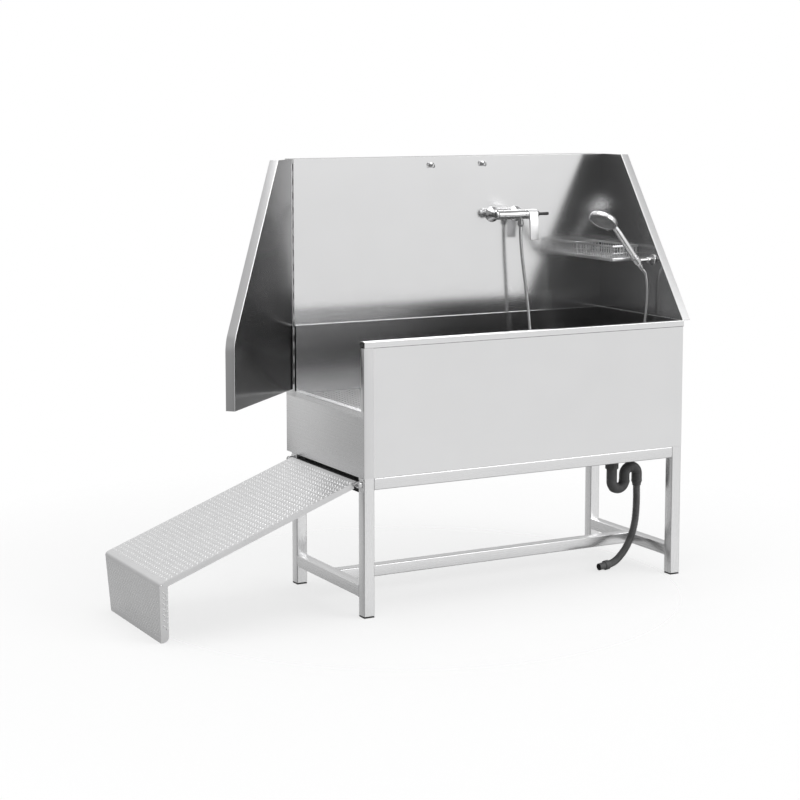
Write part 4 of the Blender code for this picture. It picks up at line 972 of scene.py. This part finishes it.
def make_mixer():
    x_way = Matrix.Rotation(math.pi / 2, 4, "Y")
    radius = 0.017
    start = -MIXER_HALF
    body = turned((
        (0.0, start - 0.008), (0.0105, start - 0.008), (0.0125, start - 0.0068), (0.0135, start - 0.0005),
        (0.0145, start), (0.0162, start), (radius, start + 0.0008), (radius, -0.04), (0.0162, -0.0392),
        (0.0162, -0.0384), (radius, -0.0376), (radius, 0.05), (0.016, 0.051), (0.016, 0.052),
        (radius, 0.053),
        (radius, MIXER_HALF - 0.0008), (radius - 0.0008, MIXER_HALF), (0.006, MIXER_HALF),
        (0.006, MIXER_HALF + 0.047), (0.0, MIXER_HALF + 0.047),
    ), Matrix.Translation(MIXER_PLACE) @ x_way, 56)
    parts = [body]
    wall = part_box("splash_back_panel")[0][1] - 0.0003
    for side, name in ((-1, "left"), (1, "right")):
        root = MIXER_PLACE + Vector((side * 0.0505, 0, 0))
        parts.append(turned((
            (0.0, 0.0), (0.011, 0.0), (0.011, 0.021), (0.0128, 0.023), (0.0128, 0.0262), (0.012, 0.027),
            (0.0, 0.027),
        ), pointing(root, (0, 1, 0)), 32))
        nut_start = root + Vector((0, 0.0273, 0))
        depth = wall - nut_start.y
        deselect()
        bpy.ops.mesh.primitive_cylinder_add(vertices=6, radius=0.0165, depth=0.0125)
        nut = bpy.context.object
        open_mesh(nut)
        pick_all()
        round_off(0.0011, 3)
        close_mesh()
        settle(nut, pointing(nut_start + Vector((0, 0.0064, 0)), (0, 1, 0)))
        rosette = turned((
            (0.0, 0.0118), (0.015, 0.0118), (0.0165, 0.013), (0.0185, depth - 0.014),
            (0.0235, depth - 0.0075), (0.0282, depth - 0.003), (0.029, depth - 0.0012), (0.029, depth),
            (0.0, depth),
        ), pointing(nut_start, (0, 1, 0)), 56)
        finish_piece(merged([nut, rosette]), f"union_and_rosette_{name}", CHROME, "bath",
                     f"mixer_union_{name}")
    outlet = MIXER_PLACE + Vector((0.037, 0, 0))
    parts.append(turned((
        (0.0, 0.0), (0.0095, 0.0), (0.0095, 0.0225), (0.0108, 0.0235), (0.0108, 0.0262), (0.01, 0.0267),
        (0.0, 0.0267),
    ), pointing(outlet, (0, 0, -1)), 36))
    finish_piece(merged(parts), "mixer_casting", CHROME, "bath", "mixer_body")
    knurled_nut("outlet_hose_nut", outlet - Vector((0, 0, 0.027)), (0, 0, -1), 0.0113, "mixer_hose_nut")
    make_lever(radius)
    make_side_handle()


def knurled_nut(name, start, way, radius, node):
    """A hose nut with grip flutes, a plain collar and a cone towards the hose."""
    length = 0.018
    nut = turned((
        (0.0, 0.0), (radius - 0.0006, 0.0), (radius, 0.0007), (radius, 0.0105), (radius - 0.0008, 0.0115),
        (radius - 0.001, length - 0.005), (0.0082, length - 0.0004), (0.0072, length), (0.0, length),
    ), pointing(start, way), 40)
    open_mesh(nut)
    line = Vector(way)

    def on_grip(face):
        reach = (face.calc_center_median() - Vector(start)).dot(line)
        return 0.001 < reach < 0.0105 and abs(face.normal.dot(line)) < 0.1 and face.index % 2

    pick(nut, "faces", on_grip)
    bpy.ops.mesh.inset(thickness=0.00025, depth=-0.0005, use_individual=True)
    close_mesh()
    finish_piece(nut, name, CHROME, "bath", node)


def make_lever(radius):
    hub = turned((
        (0.0063, 0.0), (radius + 0.0002, 0.0), (radius + 0.001, 0.0008), (radius + 0.001, 0.0386),
        (radius - 0.0004, 0.0397), (0.0063, 0.0397), (0.0063, 0.0),
    ), pointing((LEVER_START, MIXER_PLACE.y, MIXER_PLACE.z), (1, 0, 0)), 56)
    face = MIXER_PLACE.y - radius - 0.001
    deselect()
    bpy.ops.mesh.primitive_cube_add(size=1.0)
    blade = bpy.context.object
    start = Vector((LEVER_START + 0.001, face - 0.0015, MIXER_PLACE.z - 0.006))
    size = Vector((0.038, 0.0075, 0.014))
    for vertex in blade.data.vertices:
        vertex.co = start + size * (vertex.co + Vector((0.5, 0.5, 0.5)))
    open_mesh(blade)
    for drop, out in ((-0.012, -0.003), (-0.04, -0.002), (-0.037, -0.0015)):
        pick(blade, "faces", lambda item: item.normal.z < -0.8)
        pull((0, out, drop))
        bpy.ops.transform.resize(value=(0.985, 0.88, 1.0))
    pick(blade, "edges", lambda item: item.calc_face_angle(0.0) > 0.6)
    round_off(0.0013, 3)
    close_mesh()
    finish_piece(merged([hub, blade]), "mixer_blade_lever", WIRE_CHROME, "mixer_lever",
                 "mixer_lever")


def make_side_handle():
    start = LEVER_START + 0.0403
    handle = turned((
        (0.0063, 0.0), (0.0104, 0.0), (0.011, 0.0006), (0.011, 0.0089), (0.0104, 0.0096), (0.007, 0.0108),
        (0.0056, 0.0125), (0.0054, 0.03), (0.006, 0.047), (0.0056, 0.053), (0.004, 0.054), (0.0, 0.054),
    ), pointing((start, MIXER_PLACE.y, MIXER_PLACE.z), (1, 0, 0)), 36)
    finish_piece(handle, "mixer_side_grip", GLIDE_BLACK, "mixer_side_handle",
                 "mixer_side_handle")


# ---- the hand shower ----------------------------------------------------------------------------------
HANDSET_CLIP = at(1.215, 0.185044, 1.15)
HANDSET_TURN = Matrix.Translation(HANDSET_CLIP) @ Matrix.Rotation(math.radians(-38), 4, "Y")
HEAD_RADIUS = 0.0525
HEAD_TURN = Matrix.Rotation(math.pi + math.radians(13), 4, "Z") @ Matrix.Rotation(math.radians(109), 4, "Y")
HEAD_PLACE = HANDSET_TURN @ Matrix.Translation(
    Matrix.Rotation(math.radians(13), 4, "Z") @ Vector((-0.028, 0, 0)) + Vector((0, 0, 0.2014))) @ HEAD_TURN


def make_handset():
    radius = 0.0118
    grip = turned((
        (0.0, -0.036), (0.0088, -0.036), (0.0098, -0.0335), (0.0104, -0.026), (0.0108, -0.015),
        (0.0108, 0.002),
        (radius, 0.006), (0.0124, 0.04), (0.0126, 0.08), (0.012, 0.115), (0.0108, 0.135), (0.01, 0.15),
        (0.01, 0.158), (0.0, 0.158),
    ), HANDSET_TURN, 44)
    bend = [HANDSET_TURN @ Vector(spot) for spot in ((0, 0, 0.128), (-0.001, 0, 0.142), (-0.004, 0, 0.156))]
    bend += [HEAD_PLACE @ Vector((0.046, 0.0, -0.006)), HEAD_PLACE @ Vector((0.03, 0.0, -0.009))]
    neck_route, _ = smooth_route(bend, 0.004)
    neck = tube_along("neck", neck_route, lambda number: 0.0112 - 0.0002 * number, 28)
    shell = turned((
        (0.0, -0.017), (0.02, -0.0168), (0.033, -0.016), (0.042, -0.0142), (0.048, -0.0112),
        (0.0513, -0.0072), (HEAD_RADIUS, -0.003), (HEAD_RADIUS, 0.0022), (0.0517, 0.003), (0.0, 0.003),
    ), HEAD_PLACE, 72)
    seam = turned(((0.01, 0.0), (0.0122, 0.0), (0.0126, 0.0007), (0.0126, 0.0024), (0.0122, 0.003),
                   (0.01, 0.003), (0.01, 0.0)), HANDSET_TURN @ Matrix.Translation((0, 0, 0.0065)), 44)
    finish_piece(merged([grip, neck, shell, seam]), "hand_shower_body", SATIN_CHROME, "handset",
                 "shower_handset")

    ring = turned((
        (0.0435, 0.0033), (HEAD_RADIUS, 0.0033), (HEAD_RADIUS, 0.007), (0.0515, 0.0085), (0.048, 0.009),
        (0.044, 0.0078), (0.0435, 0.0033),
    ), HEAD_PLACE, 72)
    tab = block((HEAD_RADIUS - 0.004, -0.0035, 0.0036), (HEAD_RADIUS + 0.01, 0.0035, 0.0086), 0.0012, 3)
    settle(tab, HEAD_PLACE @ Matrix.Rotation(math.radians(-24), 4, "Z"))
    finish_piece(merged([ring, tab]), "spray_bezel_and_tab", SATIN_CHROME, "spray_face")
    disc = turned((
        (0.0, 0.0033), (0.044, 0.0033), (0.044, 0.0066), (0.0385, 0.0074), (0.0375, 0.007), (0.027, 0.0074),
        (0.0262, 0.007), (0.015, 0.0074), (0.0142, 0.0066), (0.007, 0.0066), (0.0062, 0.0078),
        (0.0, 0.0082),
    ), HEAD_PLACE, 64)
    finish_piece(disc, "spray_plate", SPRAY_GREY, "spray_face", "spray_face")
    nozzles = []
    way = HEAD_PLACE.to_3x3() @ Vector((0, 0, 1))
    for reach, count in ((0.0105, 8), (0.0205, 16), (0.0322, 24), (0.0412, 32)):
        for step in range(count):
            angle = math.tau * step / count
            spot = HEAD_PLACE @ Vector((math.cos(angle) * reach, math.sin(angle) * reach, 0.0068))
            deselect()
            bpy.ops.mesh.primitive_cone_add(vertices=8, radius1=0.0011, radius2=0.0006, depth=0.0026)
            nozzles.append(settle(bpy.context.object, pointing(spot + way * 0.0009, way)))
    finish_piece(merged(nozzles), "spray_nozzles", NOZZLE_GREY, "spray_face", smooth=40)

    down = HANDSET_TURN.to_3x3() @ Vector((0, 0, -1))
    knurled_nut("handset_cone_nut", HANDSET_CLIP + down * 0.0363, down, 0.0094, "handset_hose_nut")
    make_holder(down)


def make_holder(down):
    place = HANDSET_TURN @ Matrix.Translation((0, 0, -0.012))
    seat = turned((
        (0.0111, -0.011), (0.0142, -0.011), (0.0151, -0.0102), (0.0151, 0.0102), (0.0142, 0.011),
        (0.0111, 0.011), (0.0111, -0.011),
    ), place, 44)
    centre = HANDSET_CLIP + down * 0.012
    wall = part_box("shower_holder")[1][0]
    span = wall - centre.x
    arm = turned((
        (0.0, 0.0132), (0.0075, 0.0132), (0.0075, span - 0.032), (0.0105, span - 0.03),
        (0.011, span - 0.029),
        (0.011, span - 0.015), (0.0105, span - 0.014), (0.008, span - 0.013), (0.008, span - 0.009),
        (0.018, span - 0.0075), (0.0205, span - 0.0055), (0.021, span - 0.003), (0.021, span), (0.0, span),
    ), pointing(centre, (1, 0, 0)), 48)
    finish_piece(merged([seat, arm]), "shower_wall_holder", CHROME, "bath", "shower_holder")


# ---- the leash eyes -----------------------------------------------------------------------------------
def make_leash_eyes():
    """A ring on a shank with a shoulder and a wall flange, one at each place."""
    reach, wire, shank_start = 0.0075, 0.0022, 0.008
    for name in ("left", "right"):
        low, high = corners(f"leash_eye_{name}")
        centre = Vector(((low.x + high.x) / 2, low.y + reach + wire, (low.z + high.z) / 2))
        deselect()
        bpy.ops.mesh.primitive_torus_add(
            location=centre, rotation=(0, math.pi / 2, 0), major_radius=reach, minor_radius=wire,
            major_segments=40, minor_segments=14,
        )
        ring = settle(bpy.context.object)
        end = high.y - centre.y - shank_start
        shank = turned((
            (0.0, 0.0), (0.003, 0.0), (0.0036, 0.001), (0.0036, end - 0.008), (0.0065, end - 0.0075),
            (0.007, end - 0.0065), (0.007, end - 0.003), (0.0092, end - 0.0022), (0.0095, end - 0.0012),
            (0.0095, end), (0.0, end),
        ), pointing(centre + Vector((0, shank_start, 0)), (0, 1, 0)), 36)
        finish_piece(merged([ring, shank]), f"leash_eye_bolt_{name}", CHROME, "bath",
                     f"leash_eye_{name}")


# ---- the drain ----------------------------------------------------------------------------------------
def make_trap():
    """A swept trap with moulding collars, fluted nuts and a stepped hose tail."""
    x, y = at(1.133, 0.197, 0).xy
    bend = 0.028
    line = [Vector((x, y, 0.3842))]
    for start, height, way in ((x, 0.3245, -1), (x + bend * 2, 0.3445, 1)):
        for step in range(13):
            angle = math.pi * step / 12
            passed = start + bend * (1 - math.cos(angle))
            line.append(Vector((passed, y, height + way * bend * math.sin(angle))))
    line.append(Vector((x + bend * 4, y, 0.322)))
    route, _ = smooth_route(line, 0.004)
    count = len(route)
    collars = {round(count * share) + step for share in (0.3, 0.5, 0.72) for step in (0, 1)}
    trap = tube_along("trap", route, lambda number: 0.0195 + (0.0012 if number in collars else 0.0), 40)
    finish_piece(trap, "swept_trap", WASTE_GREY, "bath", "drain_trap", smooth=45)
    fluted_nut("trap_union_nut", Vector((x, y, 0.3965)), 0.024, 0.0245, 20, "trap_slip_nut")
    fluted_nut("drain_flange_nut", Vector((x, y, 0.475)), 0.013, 0.031, 24, "drain_locknut")
    end = Vector((x + bend * 4, y, 0.3217))
    tail = turned((
        (0.0, 0.0), (0.0195, 0.0), (0.02, 0.0008), (0.02, 0.0062), (0.019, 0.007), (0.0172, 0.012),
        (0.0172, 0.0135), (0.016, 0.015), (0.016, 0.0212), (0.0152, 0.0217), (0.0, 0.0217),
    ), pointing(end, (0, 0, -1)), 40)
    finish_piece(tail, "hose_tail_coupling", WASTE_GREY, "bath", "trap_coupling")


def fluted_nut(name, top, height, radius, flutes, node):
    nut = turned((
        (0.0198, 0.0), (radius - 0.0012, 0.0), (radius, 0.001), (radius, height - 0.0015),
        (radius - 0.0012, height), (0.0198, height), (0.0198, 0.0),
    ), pointing(top, (0, 0, -1)), flutes * 2)
    open_mesh(nut)
    pick(nut, "faces", lambda face: abs(face.normal.z) < 0.1 and face.calc_area() > 1e-5 and face.index % 2
         and (face.calc_center_median().xy - top.xy).length > 0.021)
    bpy.ops.mesh.inset(thickness=0.0004, depth=-0.0009, use_individual=True)
    close_mesh()
    finish_piece(nut, name, WASTE_GREY, "bath", node, 30)


# ---- small fixings ------------------------------------------------------------------------------------
def make_fixings():
    """Caps on the ends of the ramp's rod, and the weld seams where rails meet legs."""
    bolts = []
    low, high = corners("ramp_hinge_rod")
    for way in (-1, 1):
        end = Vector(((low.x + high.x) / 2, low.y if way < 0 else high.y, (low.z + high.z) / 2))
        bolts.append(turned((
            (0.0, 0.0), (0.006, 0.0), (0.0088, 0.0004), (0.0088, 0.0028), (0.006, 0.004), (0.0, 0.0044),
        ), pointing(end - Vector((0, way * 0.0015, 0)), (0, way, 0)), 32))
    finish_piece(merged(bolts), "ramp_rod_caps", CHROME, "bath")
    seams = []
    for node, way in (("lower_rail_middle", "X"), ("lower_rail_left", "Y"), ("lower_rail_right", "Y"),
                      ("top_rail_front", "X"), ("top_rail_back", "X"), ("top_rail_right", "Y")):
        low, high = corners(node)
        axis = AXES.index(way)
        for end in (low[axis], high[axis]):
            a, b = low.copy(), high.copy()
            a[axis] = b[axis] = end
            grow = Vector((0.0007, 0.0007, 0.0007))
            grow[axis] = 0.0011
            seams.append(block(a - grow, b + grow, 0.001, 2))
    finish_piece(merged(seams), "frame_weld_seams", TUBE_STEEL, "bath")


make_tubes()
make_feet()
make_apron()
make_end_sill()
make_right_panel()
make_door()
make_piano_hinge()
make_tread()
make_floor_panels()
make_basket()
make_mixer()
make_handset()
make_leash_eyes()
make_trap()
make_fixings()


# ---- the CAD pieces that stay -------------------------------------------------------------------------
FINISHES = {
    SHEET_STEEL: ("splash_back_panel", "housing_rear_panel"),
    END_STEEL: ("housing_side_left", "housing_side_right"),
    # The tub's inner pieces take the darkened steel, painted shade.
    PAINTED_SHADE_TUB_STEEL: ("tub_back_wall", "tub_floor_pan", "floor_support_front", "floor_support_back",
                "tub_end_wall_right"),
    CROSS_STEEL: ("ramp_hinge_rod", "ramp_lug_front", "ramp_lug_back"),
    TREAD_PLATE: ("ramp_plate",),
    CHROME: ("drain_body", "drain_strainer"),
}


def dress_frame():
    """Gives each CAD piece its finish, and softens its edges without touching its mesh."""
    for material, names in FINISHES.items():
        for name in names:
            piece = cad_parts[name]
            piece.data.materials.clear()
            piece.data.materials.append(material)
            weld = piece.modifiers.new("weld", "WELD")
            weld.merge_threshold = 0.00002
            flat = piece.modifiers.new("flat", "DECIMATE")
            flat.decimate_type = "DISSOLVE"
            flat.angle_limit = math.radians(1)
            soft = piece.modifiers.new("soft", "BEVEL")
            soft.width = 0.0005
            soft.segments = 2
            soft.limit_method = "ANGLE"
            soft.angle_limit = math.radians(50)


dress_frame()


# ---- the floor, the light and the surroundings --------------------------------------------------------
def make_studio():
    deselect()
    bpy.ops.mesh.primitive_circle_add(vertices=96, radius=9.0, fill_type="NGON", location=(0, 0, -0.0006))
    floor = bpy.context.object
    floor.name = "floor"
    material = bpy.data.materials.new("pale floor")
    material.use_nodes = True
    net = Net(material.node_tree)
    material.node_tree.nodes.clear()
    place = net.add("ShaderNodeTexCoord").outputs["Object"]
    distance = net.add("ShaderNodeVectorMath", operation="LENGTH")
    net.join(place, distance.inputs[0])
    matt = net.feed(net.add("ShaderNodeBsdfDiffuse"), Color=(0.93, 0.93, 0.93, 1.0))
    clear = net.add("ShaderNodeBsdfTransparent")
    mix = net.add("ShaderNodeMixShader")
    net.join(net.spread(distance.outputs["Value"], 0.9, 2.3, 0.72, 1.0), mix.inputs[0])
    net.join(matt.outputs[0], mix.inputs[1])
    net.join(clear.outputs[0], mix.inputs[2])
    net.join(mix.outputs[0], net.add("ShaderNodeOutputMaterial").inputs[0])
    floor.data.materials.append(material)

    world = bpy.context.scene.world or bpy.data.worlds.new("studio")
    bpy.context.scene.world = world
    world.use_nodes = True
    world.node_tree.nodes.clear()
    net = Net(world.node_tree)
    way = net.add("ShaderNodeTexCoord").outputs["Generated"]

    def lobe(direction, start, end, strength):
        """Light from one side of the studio, fading out between two angles."""
        dot = net.add("ShaderNodeVectorMath", operation="DOT_PRODUCT")
        net.join(way, dot.inputs[0])
        dot.inputs[1].default_value = Vector(direction).normalized()
        return net.spread(dot.outputs["Value"], start, end, 0.0, strength)

    light = 0.1
    for direction, start, end, strength in (
        ((0.6, -0.8, 0.0), 0.62, 0.86, 0.9), ((-0.45, 0.89, 0.05), 0.3, 0.9, 0.42),
        ((0, 0, 1), 0.1, 0.95, 0.6), ((0.3, 0.87, 0.4), 0.4, 0.95, 0.4),
        ((-0.93, -0.36, 0.1), 0.86, 0.98, 0.35),
    ):
        light = net.calc("ADD", light, lobe(direction, start, end, strength))
    seen = net.add("ShaderNodeLightPath").outputs["Is Camera Ray"]
    glow = net.add("ShaderNodeBackground")
    net.join(light, glow.inputs["Strength"])
    white = net.feed(net.add("ShaderNodeBackground"), Strength=1.0)
    white.inputs["Color"].default_value = (1.0, 1.0, 1.0, 1.0)
    mix = net.add("ShaderNodeMixShader")
    net.join(seen, mix.inputs[0])
    net.join(glow.outputs[0], mix.inputs[1])
    net.join(white.outputs[0], mix.inputs[2])
    net.join(mix.outputs[0], net.add("ShaderNodeOutputWorld").inputs[0])

    for name, place, size, power in (
        ("window right", (3.2, -4.2, 3.4), 3.0, 80.0), ("ceiling", (0.0, -0.6, 4.4), 3.6, 80.0),
    ):
        bpy.ops.object.light_add(type="AREA", location=place)
        lamp = bpy.context.object
        lamp.name = name
        lamp.data.size = size
        lamp.data.energy = power
        lamp.rotation_euler = (Vector((0, 0, 0.7)) - Vector(place)).to_track_quat("-Z", "Y").to_euler()
    bpy.context.scene.view_settings.view_transform = "Standard"


make_studio()
